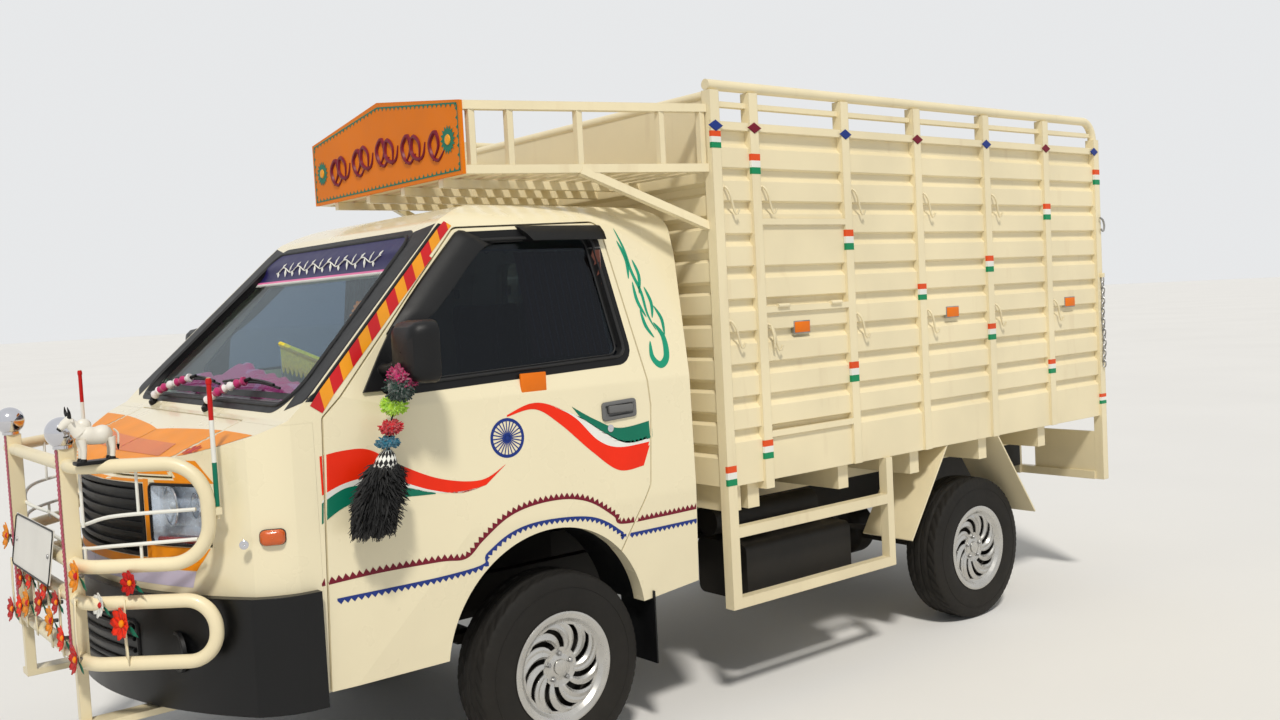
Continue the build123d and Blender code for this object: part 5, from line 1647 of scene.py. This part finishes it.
def mark_posts():
    """Three-colour bands wrapped round the posts' outer faces, and a diamond at the top of each."""
    for name, sign in SIDES:
        form = Form()
        for post, top, low in BANDS:
            third = (top - low) / 3
            x = BODY_X + BAND_PROUD
            y0 = POST_YS[post] - POST_HALF - BAND_PROUD
            y1 = POST_YS[post] + POST_HALF + BAND_PROUD
            ring = ((x - BAND_DEPTH, y0), (x, y0), (x, y1), (x - BAND_DEPTH, y1))
            for index, key in enumerate(BAND_KEYS):
                ends = (top - third * (index + 1), top - third * index)
                form.grid([[at(sign * px, py, z) for px, py in ring] for z in ends], key)
        half_y, half_z = DIAMOND_HALF
        for post, y in enumerate(POST_YS):
            key = "blue_paint" if post % 2 == 0 else "maroon_paint"
            centre = at(sign * (BODY_X + 0.0012), min(y, POST_YS[6] - 0.022), DIAMOND_Z)
            out = Vector((sign * 0.0022, 0, 0))
            tips = ((-half_y, 0), (0, half_z), (half_y, 0), (0, -half_z))
            points = [centre + Vector((0, dy, dz)) for dy, dz in tips]
            inner = [p.lerp(centre, 0.12) + out for p in points]
            form.grid([points, inner, [centre + out] * 4], key, round_u=True)
        form.make(f"{name}_side_marks", "truck", "body_paint")


def add_side_fittings():
    """Rope hooks, reflectors, the side flap's hinges and stay, and weld beads on the rails."""
    for name, sign in SIDES:
        form = Form()
        x = sign * (SHEET_X + 0.001)
        for post, z in HOOKS:
            y = POST_YS[post] + 0.045
            path = [at(x + sign * HOOK_REACH * reach, y + dy, z + dz) for reach, dy, dz in HOOK]
            form.tube(bent(path, 18), 0.0045, "body_paint")
            form.ball(path[0], 0.009, "body_paint", (0.6, 1, 1))
        for y, z in REFLECTORS:
            for proud, half_y, half_z, key, edge in ((0.005, 0.042, 0.021, "flat_orange", 0.003),
                                                     (0.002, 0.046, 0.025, "galvanised", 0.002)):
                low = at(sign * (SHEET_X - 0.012), y - half_y, z - half_z)
                form.block(low, at(sign * (SHEET_X + proud), y + half_y, z + half_z), key, edge)

        def bead(x, y, half, z, radius, sides):
            form.tube([at(sign * x, y - half, z), at(sign * x, y + half, z)], radius, "body_paint", sides)

        for y in FLAP_HINGES:
            bead(BODY_X + 0.003, y, 0.03, 1.503, 0.008, 10)
        form.tube(bent(mirrored(sign, [Vector(p) for p in FLAP_STAY]), 8), 0.005, "body_paint")
        for y in POST_YS[:6]:
            for z in RAILS_Z:
                bead(0.866, y, 0.024, z, 0.0025, 5)
        form.make(f"{name}_side_fittings", "truck", "body_paint")


CHAIN_X = 0.879
CHAIN_TOP = (3.350, 1.53)
CHAIN_BRACKET = ((-0.010, -0.012, 0.012), (0.008, 0.012, 0.034))
LINKS = 17
LINK_PITCH = 0.0265
LINK_RADIUS = 0.0085
LINK_STRETCH = 0.010
CHAIN_HOOK = (
    (0, 3.345, 1.842), (0.006, 3.362, 1.83), (0.006, 3.374, 1.80), (0.004, 3.366, 1.775), (0, 3.352, 1.785),
)


def add_chains():
    """A chain that hangs straight down each rear post from its bracket, and the hook above it."""
    for name, sign in SIDES:
        form = Form()
        x = sign * CHAIN_X
        form.tube(bent([at(x + sign * dx, y, z) for dx, y, z in CHAIN_HOOK], 20), 0.005, "galvanised")
        start = at(x, *CHAIN_TOP)
        for index in range(LINKS):
            centre = start + Vector((0, 0.004 * math.sin(index * 0.7), -LINK_PITCH * index))
            flat = BEHIND if index % 2 else OUTWARD
            ring = circle(centre, flat, UP, LINK_RADIUS, 14)
            link = [p + UP * (p - centre).z / LINK_RADIUS * LINK_STRETCH for p in ring]
            form.tube(link, 0.0030, "galvanised", 6, closed=True)
        form.block(*[start + Vector(corner) for corner in CHAIN_BRACKET], "body_paint")
        form.make(f"{name}_chain", "truck")


GATE_Y = 3.342 + AXLE_Y


def add_rear_fittings():
    """Bolts on the tailgate, and a latch rod with its handle on each rear door."""
    gate = Form()
    for _, sign in SIDES:
        x = 0.70 * sign
        bolt = Vector((x, GATE_Y + 0.010, 1.36))
        gate.tube([bolt - UP * 0.06, bolt + UP * 0.07], 0.008, "galvanised", 10)
        for z in (1.32, 1.40):
            low = (x - 0.018, GATE_Y - 0.002, z - 0.012)
            gate.block(low, (x + 0.018, GATE_Y + 0.020, z + 0.012), "body_paint")
        gate.tube([bolt, bolt + Vector((-0.04 * sign, 0.008, 0))], 0.006, "galvanised")
    gate.make("gate_bolts", "tailgate", "body_paint")
    for name, sign in SIDES:
        form = Form()
        x = 0.055 * sign
        form.tube([(x, GATE_Y + 0.012, 1.52), (x, GATE_Y + 0.012, 2.12)], 0.009, "body_paint", 12)
        for z in (1.55, 1.82, 2.08):
            low = (x - 0.02, GATE_Y - 0.002, z - 0.014)
            form.block(low, (x + 0.02, GATE_Y + 0.022, z + 0.014), "body_paint", 0.003)
        handle = ((0, 0.014, 1.72), (0.03, 0.024, 1.715), (0.17, 0.026, 1.71))
        path = [(x + dx * sign, GATE_Y + dy, z) for dx, dy, z in handle]
        form.tube(path, (0.008, 0.008, 0.006), "body_paint", 10)
        form.make(f"{name}_rear_latch", f"{name}_rear_door", "body_paint")


# Sign board over the cab
SIGN_HALF = 0.593
SIGN_BASE, SIGN_SHOULDER, SIGN_APEX = 2.006, 2.252, 2.335
SIGN_MIDDLE = 2.13
SIGN_INSET = 0.012
SIGN_TEETH = 180
ROSETTE_POINTS = 32
ROSETTE_HEART = ((0.018, 0.0), (0.016, 0.003), (0.0, 0.004))
CURL = ((0.0, 0.0), (0.25, 0.45), (0.0, 0.8), (-0.25, 0.45), (-0.05, 0.12), (0.3, 0.05), (0.55, 0.35))
CURLS = 9
CURL_HEIGHT = 0.125
CURL_STEPS = 26


def curl(form, x, y, z, turn):
    """One curled stroke of the sign's ornament."""
    turned = Matrix.Rotation(turn, 2)
    path = []
    for point in CURL:
        spot = turned @ Vector(point) * CURL_HEIGHT
        path.append(Vector((x + spot.x, y, z + spot.y)))
    radii = [0.009 * (0.3 + 0.7 * math.sin(math.pi * i / (CURL_STEPS - 1))) for i in range(CURL_STEPS)]
    form.tube(bent(path, CURL_STEPS), radii, "maroon_paint", 6)


def decorate_sign():
    """A toothed green border, rosettes at both ends and a row of curled ornament, front and back."""
    form = Form()
    inner = SIGN_INSET
    side = SIGN_HALF - inner
    shoulder = SIGN_SHOULDER - inner * 0.6
    foot = SIGN_BASE + inner
    edge = ((-side, foot), (side, foot), (side, shoulder), (0, SIGN_APEX - inner * 1.4), (-side, shoulder))
    loop = even(edge + edge[:1], SIGN_TEETH + 1)
    centre = Vector((0, SIGN_MIDDLE))
    low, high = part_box("sign_board")
    for face, out in ((low[1], -1), (high[1], 1)):
        y = face + out * 0.0008
        for index, (a, b) in enumerate(zip(loop, loop[1:])):
            middle = a.lerp(b, 0.5)
            inward = Vector((-(b - a).y, (b - a).x)).normalized()
            if inward.dot(centre - middle) < 0:
                inward = -inward
            line = [a, b, b + inward * 0.005, a + inward * 0.005]
            form.face([(p.x, y, p.y) for p in line], "green_paint")
            if index % 2 == 0:
                tooth = [a + inward * 0.004, b + inward * 0.004, middle + inward * 0.016]
                form.face([(p.x, y + out * 0.0002, p.y) for p in tooth], "green_paint")
        for end in (-1, 1):
            spot = Vector((end * (SIGN_HALF - 0.085), y, SIGN_MIDDLE))
            points = [spot]
            rays = circle(Vector(), OUTWARD, UP, 1, ROSETTE_POINTS)
            for index, ray in enumerate(rays):
                points.append(spot + ray * (0.036 if index % 2 else 0.050) + Vector((0, out * 0.001, 0)))
            faces = [(0, 1 + index, 1 + (index + 1) % ROSETTE_POINTS) for index in range(ROSETTE_POINTS)]
            form.add(points, faces, "green_paint")
            form.lathe(ROSETTE_HEART, spot + Vector((0, out * 0.001, 0)), (0, out, 0), "amber_paint", 20)
        for index in range(CURLS):
            x = -0.40 + index * 0.10
            curl(form, x, y, 2.065 + 0.035 * (1 - abs(x) / 0.5), 0.35 if index % 2 else -0.25)
    form.make("sign_ornament", "truck", "sign_paint")


# Seats, cloths and hangings in the cab
PAD_INSET = 0.014
PAD_SWELL = 0.016
CLOTH_FRAMES = 20
SEAM = (0.009, 0.035)
CROSS_SEAM = (0.004, 0.03)
CROSS_SEAMS = (-0.45, 0.0, 0.45)
SEATS = ((-0.385, 0.52, (-0.62, 0.62)), (0.255, 0.74, (-0.72, 0.0, 0.72)))


def settle(piece):
    """Replaces a piece's mesh with what its modifiers make of it."""
    graph = bpy.context.evaluated_depsgraph_get()
    graph.update()
    done = bpy.data.meshes.new_from_object(piece.evaluated_get(graph))
    piece.modifiers.clear()
    piece.data = done


def swell(pad):
    """Blows a pad up a little as cloth under pressure."""
    before = [vertex.co.copy() for vertex in pad.data.vertices]
    cloth = pad.modifiers.new("cloth", "CLOTH")
    cloth.settings.use_pressure = True
    cloth.settings.uniform_pressure_force = 4
    cloth.settings.effector_weights.gravity = 0
    cloth.settings.quality = 5
    for step in range(1, CLOTH_FRAMES + 1):
        bpy.context.scene.frame_set(step)
    settle(pad)
    bpy.context.scene.frame_set(1)
    for vertex, start in zip(pad.data.vertices, before):
        move = vertex.co - start
        if move.length > PAD_SWELL:
            vertex.co = start + move.normalized() * PAD_SWELL


def crease(value, lines, size):
    depth, width = size
    return sum(depth * math.exp(-((value - line) / width) ** 2) for line in lines)


def shaped_pad(name, low, high, dent, seams, replaces=()):
    """A stuffed pad swollen by a cloth simulation, with sewn channels pressed in after it."""
    shape = bmesh.new()
    bmesh.ops.create_cube(shape, size=1)
    for vertex in shape.verts:
        ends = zip(vertex.co, low, high)
        vertex.co = Vector(l + PAD_INSET + (h - l - 2 * PAD_INSET) * (v + 0.5) for v, l, h in ends)
    bmesh.ops.bevel(shape, geom=shape.edges[:], offset=0.03, segments=3, affect="EDGES", profile=0.6)
    mesh = bpy.data.meshes.new(name)
    shape.to_mesh(mesh)
    shape.free()
    pad = new_object(name, mesh)
    remesh = pad.modifiers.new("remesh", "REMESH")
    remesh.mode = "VOXEL"
    remesh.voxel_size = 0.013
    settle(pad)
    swell(pad)
    middle = (low + high) / 2
    size = high - low
    # A cushion lies with its top pressed in, a back stands with its front pressed in
    lies = size.z < size.y
    long, thin, face = (1, 2, 1) if lies else (2, 1, -1)
    for vertex in pad.data.vertices:
        if (vertex.co[thin] > middle[thin]) == lies:
            across = (vertex.co.x - middle.x) / (size.x / 2)
            along = (vertex.co[long] - middle[long]) / (size[long] / 2)
            press = crease(across, seams, SEAM) + crease(along, CROSS_SEAMS, CROSS_SEAM)
            press += dent * max(0, 1 - across ** 2) * max(0, 1 - along ** 2)
            vertex.co[thin] -= face * press
    fine = pad.modifiers.new("fine", "SUBSURF")
    fine.levels = 1
    fine.render_levels = 1
    pad.data.materials.append(MATERIALS["seat_cloth"])
    for polygon in pad.data.polygons:
        polygon.use_smooth = True
    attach(pad, "truck")
    if replaces:
        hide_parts(*replaces)


def add_seats():
    for number, (centre, width, seams) in enumerate(SEATS, 1):
        x0 = centre - width / 2 + 0.006
        x1 = centre + width / 2 - 0.006
        replaced = ("seats",) if number == 1 else ()
        low, high = at(x0, -0.438, 0.932), at(x1, 0.425, 1.045)
        shaped_pad(f"seat_cushion_{number}", low, high, 0.010, seams, replaced)
        shaped_pad(f"seat_back_{number}", at(x0, 0.436, 1.03), at(x1, 0.545, 1.595), 0.006, seams)
        form = Form()
        for x in (x0 + 0.03, x1 - 0.05):
            form.block(at(x, 0.47, 1.60), at(x + 0.02, 0.49, 1.64), "galvanised", 0.003)
        form.make(f"seat_stubs_{number}", "truck")


def flat_size(rows):
    """A sheet's width and height, measured over its folds."""
    columns = list(zip(*rows))
    return [sum(run_length(line) for line in lines) / len(lines) for lines in (rows, columns)]


def sheet_piece(name, body, rows, key):
    form = Form()
    form.grid(rows, key)
    return form.make(name, body, "seat_cloth", sharp=180)


RAIL_Z = 1.745
RAIL_STEPS = 20
CURTAIN_TOP = 1.737
CURTAIN_DROP = 0.36
CURTAIN_START = -0.02
CURTAIN_RUN = 0.32
CURTAIN_BACK = 0.021
CURTAIN_WAVE = 0.0055


def add_curtains():
    """A gathered brown curtain behind each door window's rear half, on a thin rail with rings."""
    for name, sign in SIDES:
        glass = Skin(f"{name}_door_glass")

        def behind(along, z, back):
            hit = glass.beside(sign, along, z)
            return at((hit.x if hit else sign * 0.74) - sign * back, along, z)

        rail = Form()
        line = [behind(-0.20 + 0.5 * step / RAIL_STEPS, RAIL_Z, 0.022) for step in range(RAIL_STEPS + 1)]
        rail.tube(line, 0.003, "galvanised", 6)
        for spot in line[::3]:
            rail.tube(circle(spot - UP * 0.004, BEHIND, UP, 0.007, 10), 0.0012, "chrome", 5, closed=True)
        rod = rail.make(f"{name}_curtain_rail", f"{name}_door")
        rows = []
        for down in range(19):
            share = down / 18
            row = []
            for step in range(97):
                wave = CURTAIN_WAVE * math.sin(step * 0.72 + 0.8 * math.sin(share * 2))
                wave *= 0.55 + 0.45 * share
                along = CURTAIN_START + CURTAIN_RUN * step / 96
                row.append(behind(along, CURTAIN_TOP - CURTAIN_DROP * share, CURTAIN_BACK + wave))
            rows.append(row)
        curtain = sheet_piece(f"{name}_curtain", f"{name}_door", rows, "curtain_brown")
        tuple(flat_size(rows))


DASH_LEFT = -0.62
DASH_WIDE = 1.28
DASH_RIGHT = 0.66
DASH_FRONT = -0.905
DASH_DEEP = 0.262
DASH_EDGE = 0.8
FRINGE = 64
BAR_DROP = (0.43, 0.072)
BAR_START = (0.17, -0.66, 1.468)
BAR_THREADS = 84
# Threads with flowers: where each starts and ends across, and how low it ends
STRINGS = ((0.45, 0.505, 1.575), (0.50, 0.550, 1.53), (0.545, 0.592, 1.49))
STRING_TOP = 1.70


def lay_dash_cloth():
    """The bright cloth over the dashboard, which lies over rolled blankets and rises to a peak."""
    skin = Skin("dashboard")
    rows = []
    for step in range(41):
        share = step / 40
        row = []
        for part in range(81):
            x = DASH_LEFT + DASH_WIDE * part / 80
            if share < DASH_EDGE:
                along = DASH_FRONT + DASH_DEEP * share / DASH_EDGE
                hit = skin.spot(at(x, along, 1.6), DOWN)
                z = (hit.z if hit else 1.2) + 0.004 + 0.0012 * math.sin(part * 0.9 + share * 9)
                hump = min(1.0, share / 0.52, (0.79 - share) / 0.12)
                hump = hump * hump * (3 - 2 * hump)
                crest = 0.122 + 0.014 * math.sin(x * 9.0 + 0.6) + 0.056 * math.exp(-((x + 0.10) / 0.13) ** 2)
                crest *= min(1.0, (x - DASH_LEFT) / 0.12, (DASH_RIGHT - x) / 0.05)
                folds = 0.006 * math.sin(x * 60 + share * 7) + 0.004 * math.sin(x * 131 - share * 11)
                under_glass = SCREEN_FOOT + (along - SCREEN_FACE - 0.060) / SCREEN_SLOPE
                rise = z + (crest + folds * min(1.0, crest * 12)) * hump
                row.append(at(x, along, max(z, min(rise, under_glass))))
            else:
                fall = (share - DASH_EDGE) / (1 - DASH_EDGE)
                along = -0.631 + 0.020 * math.sin(fall * math.pi / 2) + 0.004 * math.sin(part * 0.55) * fall
                row.append(at(x, along, 1.206 - 0.085 * fall))
        rows.append(row)
    cloth = sheet_piece("dash_cloth", "truck", rows, "dash_cloth")
    tuple(flat_size(rows))


def add_dash_hangings():
    """The cloth's fringe, a bar of yellow threads behind the screen, and threads with flowers."""
    form = Form()
    for part in range(FRINGE):
        drop(form, at(-0.61 + 1.26 * part / (FRINGE - 1), -0.618, 1.122), 0.035, 0.0018)
    start = at(*BAR_START)
    end = start + Vector((BAR_DROP[0], 0, -BAR_DROP[1]))
    form.tube([start.lerp(end, s / 12) for s in range(13)], 0.009, "yellow_thread", 6)
    for step in range(BAR_THREADS):
        share = step / (BAR_THREADS - 1)
        drop(form, start.lerp(end, share), 0.088 - 0.03 * share + 0.010 * math.sin(step * 0.9), 0.0036)
    for foot in (start, end):
        form.tube([foot, (foot.x, foot.y, 1.216)], 0.004, "galvanised", 6)
    for x0, x1, z1 in STRINGS:
        ends = [at(x, screen_along(z) + 0.068, z) for x, z in ((x0, STRING_TOP), (x1, z1))]
        form.tube(even(ends, 10), 0.0028, "white_thread", 5)
        for bead in range(3):
            spot = ends[1] + Vector((0.010 * bead - 0.008, -0.012 * bead, -0.014 * bead))
            flower(form, spot, 0.024, "orange_flower", "yellow_thread", (0.7, -0.7, 0.2))
    form.make("dash_hangings", "truck")


# The sun strip's run over the screen's top: height, and how far along
STRIP = (
    (1.688, -0.4385), (1.71, -0.4165), (1.73, -0.4055), (1.75, -0.4025), (1.765, -0.389), (1.775, -0.378),
    (1.79, -0.3618), (1.80, -0.3516),
)
# The strip itself and the pink line at its foot: heights, key, how far proud, and rows
STRIP_BANDS = ((1.688, 1.800, "strip_blue", 0.0, 14), (1.690, 1.697, "pink_paint", 0.0008, 4))
STRIP_FOOT = 1.690
SCALLOPS = 74
VINE_Z = 1.737
LEAVES = 26


def strip_point(x, z, proud=0.0):
    for (z0, y0), (z1, y1) in zip(STRIP, STRIP[1:]):
        if z <= z1:
            break
    return at(x, y0 + (y1 - y0) * (min(z, z1) - z0) / (z1 - z0) - proud, z)


def vine_point(x):
    return strip_point(x, VINE_Z + 0.010 * math.sin(x * 46), 0.003)


def add_sun_strip():
    """A dark strip over the screen's top, with a white vine, a pink edge and small scallops."""
    form = Form()
    for z0, z1, key, proud, parts in STRIP_BANDS:
        rows = []
        for k in range(parts + 1):
            z = z0 + (z1 - z0) * k / parts
            half = screen_side(z) - 0.001
            rows.append([strip_point(half * (2 * s / 48 - 1), z, proud) for s in range(49)])
        form.grid(rows, key)
    half = screen_side(STRIP_FOOT) - 0.006
    for index in range(SCALLOPS):
        x0, x1 = (half * (2 * edge / SCALLOPS - 1) for edge in (index, index + 1))
        corners = ((x0, STRIP_FOOT), (x1, STRIP_FOOT), ((x0 + x1) / 2, STRIP_FOOT - 0.013))
        form.face([strip_point(x, z, 0.001) for x, z in corners], "white_paint")
    form.tube([vine_point(-0.44 + 0.88 * step / 160) for step in range(161)], 0.0024, "white_paint", 6)
    for index in range(LEAVES):
        x = -0.425 + 0.034 * index
        root = vine_point(x)
        tip = strip_point(x + 0.016, VINE_Z + (0.026 if index % 2 else -0.026), 0.003)
        form.tube([root, root.lerp(tip, 0.5), tip], (0.0012, 0.0045, 0.0008), "white_paint", 6)
    form.make("sun_strip", "truck", "glass")


WHEEL_LEAN = math.radians(35)
WHEEL_CAP = ((0.046, -0.012), (0.046, 0.004), (0.040, 0.010), (0.020, 0.013), (0.0, 0.014))


def add_steering_cap():
    axis = Vector((0, math.sin(WHEEL_LEAN), math.cos(WHEEL_LEAN)))
    form = Form()
    form.lathe(WHEEL_CAP, at(-0.385, -0.50, 1.205), axis, "black_plastic", 28)
    form.make("steering_cap", "steering_wheel", "black_plastic")


# Tyres and wheel covers
TYRE_R = 0.325
RIM_R = 0.178
TYRE_STEPS = 216
TREAD_HALF = 0.0715
TREAD_COLUMNS = 26
# A side wall from the bead out to the shoulder: half width, and height over the rim
WALL = (
    (0.0765, 0), (0.081, 0.010), (0.0875, 0.028), (0.0920, 0.055), (0.0915, 0.082), (0.0890, 0.104),
    (0.0865, 0.118),
    (0.0825, 0.132), (0.0770, 0.141),
)
GROOVES = (6, 7, 13, 19, 20)
GROOVE_DEEP = 0.0065
SIPE_DEEP = 0.0055
BLOCK_SIPE_DEEP = 0.0035
SHOULDER_RIB = 0.0012
WALL_RINGS = ((RIM_R + 0.016, 0.0018, 0.0840), (RIM_R + 0.096, 0.0014, 0.0903))


def tread_cut(column, index):
    """How deep the tread is cut at one of its columns, some steps round."""
    slant = index + column if column < TREAD_COLUMNS / 2 else index - column
    if column in GROOVES:
        return GROOVE_DEEP
    if (column < 6 or column > 20) and slant % 6 == 0:
        return SIPE_DEEP
    if (7 < column < 12 or 14 < column < 19) and slant % 9 == 0:
        return BLOCK_SIPE_DEEP
    return 0


def tyre_form(centre, sign):
    """A worn road tyre: grooves round it, slanted sipes in the shoulders, ribs on the walls."""
    walls = [(x, RIM_R + rise) for x, rise in WALL]
    tread = []
    for step in range(TREAD_COLUMNS + 1):
        x = TREAD_HALF * (2 * step / TREAD_COLUMNS - 1)
        tread.append((x, TYRE_R - 0.0035 * abs(x / TREAD_HALF) ** 3 - 0.0002))
    rows = []
    for index in range(TYRE_STEPS):
        ribbed = index % 3 == 0
        ribs = []
        for x, r in walls:
            ribs.append((x * 0.992, r - SHOULDER_RIB) if ribbed and r > RIM_R + 0.11 else (x, r))
        row = [(-x, r) for x, r in ribs]
        row += [(x, r - tread_cut(column, index)) for column, (x, r) in enumerate(tread)]
        row += reversed(ribs)
        turn = 2 * math.pi * index / TYRE_STEPS
        rows.append([centre + Vector((x * sign, math.cos(turn) * r, math.sin(turn) * r)) for x, r in row])
    form = Form()
    form.grid(rows, "tyre", round_v=True)
    for side in (-1, 1):
        for radius, width, x in WALL_RINGS:
            ring = circle(centre + Vector((side * x, 0, 0)), BEHIND, UP, radius, 96)
            form.tube(ring, width, "tyre", 6, closed=True)
    return form


# A blade's foot edge, how it narrows, and its head edge, in degrees; the second one is wide
BLADES = ((15, -5, 31), (46, -5, 72))
NARROW_KNOTS = ((0, 0), (0.7, 1), (1, 0))
WIDE_KNOTS = ((0, 0), (0.22, 0.48), (0.42, 0.10), (0.78, 1), (1, 0))
BLADE_CREST = 0.0095
BLADE_PARTS = 14
COVER_X = 0.705
HUB_PROUD = 0.0615
HUB_CAP = ((0.026, 0.0), (0.025, 0.004), (0.014, 0.006), (0.0, 0.0065))
NUT = ((0.0085, 0.0), (0.0085, 0.006), (0.006, 0.009), (0.0, 0.0095))
NUTS = 5
NUT_CIRCLE = 0.047


def blade_height(share, knots):
    """The height over a blade's width, where 1 is its crest."""
    for (s0, h0), (s1, h1) in zip(knots, knots[1:]):
        if share <= s1:
            return h0 + (h1 - h0) * (share - s0) / (s1 - s0)
    return 0.0


def cover_blades(form, centre, sign):
    """Raised swirled blades on a wheel cover, between its slots."""
    for turn0 in range(0, 360, 72):
        for (low_edge, narrowing, high_edge), knots in zip(BLADES, (NARROW_KNOTS, WIDE_KNOTS)):
            rows = []
            for ring in range(BLADE_PARTS + 1):
                reach = -0.10 + 1.20 * ring / BLADE_PARTS
                radius = 0.068 + 0.079 * reach
                swing = 15.84 * reach + 20.16 * reach * reach
                base = 0.058 + 0.012 * (radius - 0.062) / 0.094
                fade = math.sqrt(max(0.0, math.sin(math.pi * ring / BLADE_PARTS)))
                first = low_edge + narrowing * reach + 0.6
                row = []
                for step in range(BLADE_PARTS + 1):
                    share = step / BLADE_PARTS
                    turn = math.radians(turn0 + swing + first + (high_edge - 0.6 - first) * share)
                    rise = base + 0.0004 + BLADE_CREST * fade * blade_height(share, knots)
                    out = Vector((rise, radius * math.cos(turn), 0)) * sign
                    row.append(centre + out + UP * radius * math.sin(turn))
                rows.append(row)
            form.grid(rows, "silver")


def add_wheels():
    """Each wheel's tread and its cover's cap, nuts and blades."""
    for axle in ("front", "rear"):
        for name, sign in SIDES:
            node = f"{axle}_{name}_tyre"
            body = NODE_BODY[node]
            low, high = (Vector(v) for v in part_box(node))
            tyre = tyre_form((low + high) / 2, sign)
            tyre.make(f"{node}_tread", body, "tyre", replaces=(node,), sharp=50)
            centre = Vector((sign * COVER_X, (low.y + high.y) / 2, TYRE_R))
            hub = centre + Vector((sign * HUB_PROUD, 0, 0))
            details = Form()
            details.lathe(HUB_CAP, hub, (sign, 0, 0), "silver", 28)
            for spot in circle(hub - Vector((sign * 0.004, 0, 0)), BEHIND, UP, NUT_CIRCLE, NUTS, 0.3):
                details.lathe(NUT, spot, (sign, 0, 0), "galvanised", 6)
            details.make(f"{axle}_{name}_hub_cap", body, "wheel_cover")
            blades = Form()
            cover_blades(blades, centre, sign)
            blades.make(f"{axle}_{name}_cover_blades", body, "wheel_cover", sharp=12)


# Nose and plate
INTAKE_LOW = (-0.35, 0.525)
INTAKE_HIGH = (0.35, 0.672)
SLATS = 4
SLAT_HALF = 0.33
FOG_PLACE = (0.52, 0.60)
FOG_RIM = ((0.062, 0.004), (0.060, -0.006), (0.052, -0.008), (0.047, -0.002), (0.046, 0.004))
FOG_BOWL = ((0.046, 0.006), (0.040, 0.012), (0.020, 0.014), (0.0, 0.0145))
NOSE_LOCK = ((0.013, -0.004),) + LOCK[1:]
SCREW = ((0.007, 0.0), (0.006, 0.003), (0.0, 0.004))


def add_nose_details():
    """Slats in the bumper's intake, fog lamp recesses, and a lock at each side of the nose."""
    form = Form()
    for slat in range(SLATS):
        z = 0.545 + slat * 0.036
        path = [BUMPER_SKIN.ahead(SLAT_HALF * (2 * step / 32 - 1), z) + AHEAD * 0.001 for step in range(33)]
        form.tube(path, 0.008, "black_plastic")
    intake = oblong(INTAKE_LOW, INTAKE_HIGH, 0.02, FINE_STEP)
    form.tube([BUMPER_SKIN.ahead(*p) for p in intake], 0.007, "black_plastic", closed=True)
    for _, sign in SIDES:
        spot = BUMPER_SKIN.ahead(sign * FOG_PLACE[0], FOG_PLACE[1])
        form.lathe(FOG_RIM, spot, BEHIND, "black_plastic", 36)
        form.lathe(FOG_BOWL, spot, BEHIND, "gasket")
        form.lathe(NOSE_LOCK, at(sign * 0.7495, -1.039, 0.923), (sign * 0.9, -0.42, 0), "chrome", 20)
    form.make("nose_details", "truck", "black_plastic")


def trim_plate():
    """The blank number plate's rim and screws."""
    form = Form()
    rim = oblong((-0.247, 0.803), (0.247, 0.962), 0.008, FINE_STEP)
    path = [at(p.x, -1.4202 - 0.15 * (0.965 - p.y), p.y) for p in rim]
    form.tube(path, 0.0028, "black_plastic", 6, closed=True)
    for x in (-0.21, 0.21):
        form.lathe(SCREW, at(x, -1.4325, 0.885), (0, -1, 0.15), "galvanised", 14)
    form.make("plate_trim", "truck")


make_materials()
add_camera()
add_sky()
add_sun_and_floor()
dress_nodes()
paint_sides()
paint_front()
trim_screen()
trim_doors()
trim_rear_window()
add_visors()
add_pillar_tape()
make_films()
add_wipers()
add_door_fittings()
add_mirrors()
add_tassels()
add_headlamps()
add_indicators()
add_tail_lamps()
add_post_ribbons()
add_guard_trim()
add_flowers()
add_bull()
colour_poles()
mark_posts()
add_side_fittings()
add_chains()
add_rear_fittings()
decorate_sign()
add_seats()
add_curtains()
lay_dash_cloth()
add_dash_hangings()
add_sun_strip()
add_steering_cap()
add_wheels()
add_nose_details()
trim_plate()

bpy.context.scene.view_settings.view_transform = "Standard"
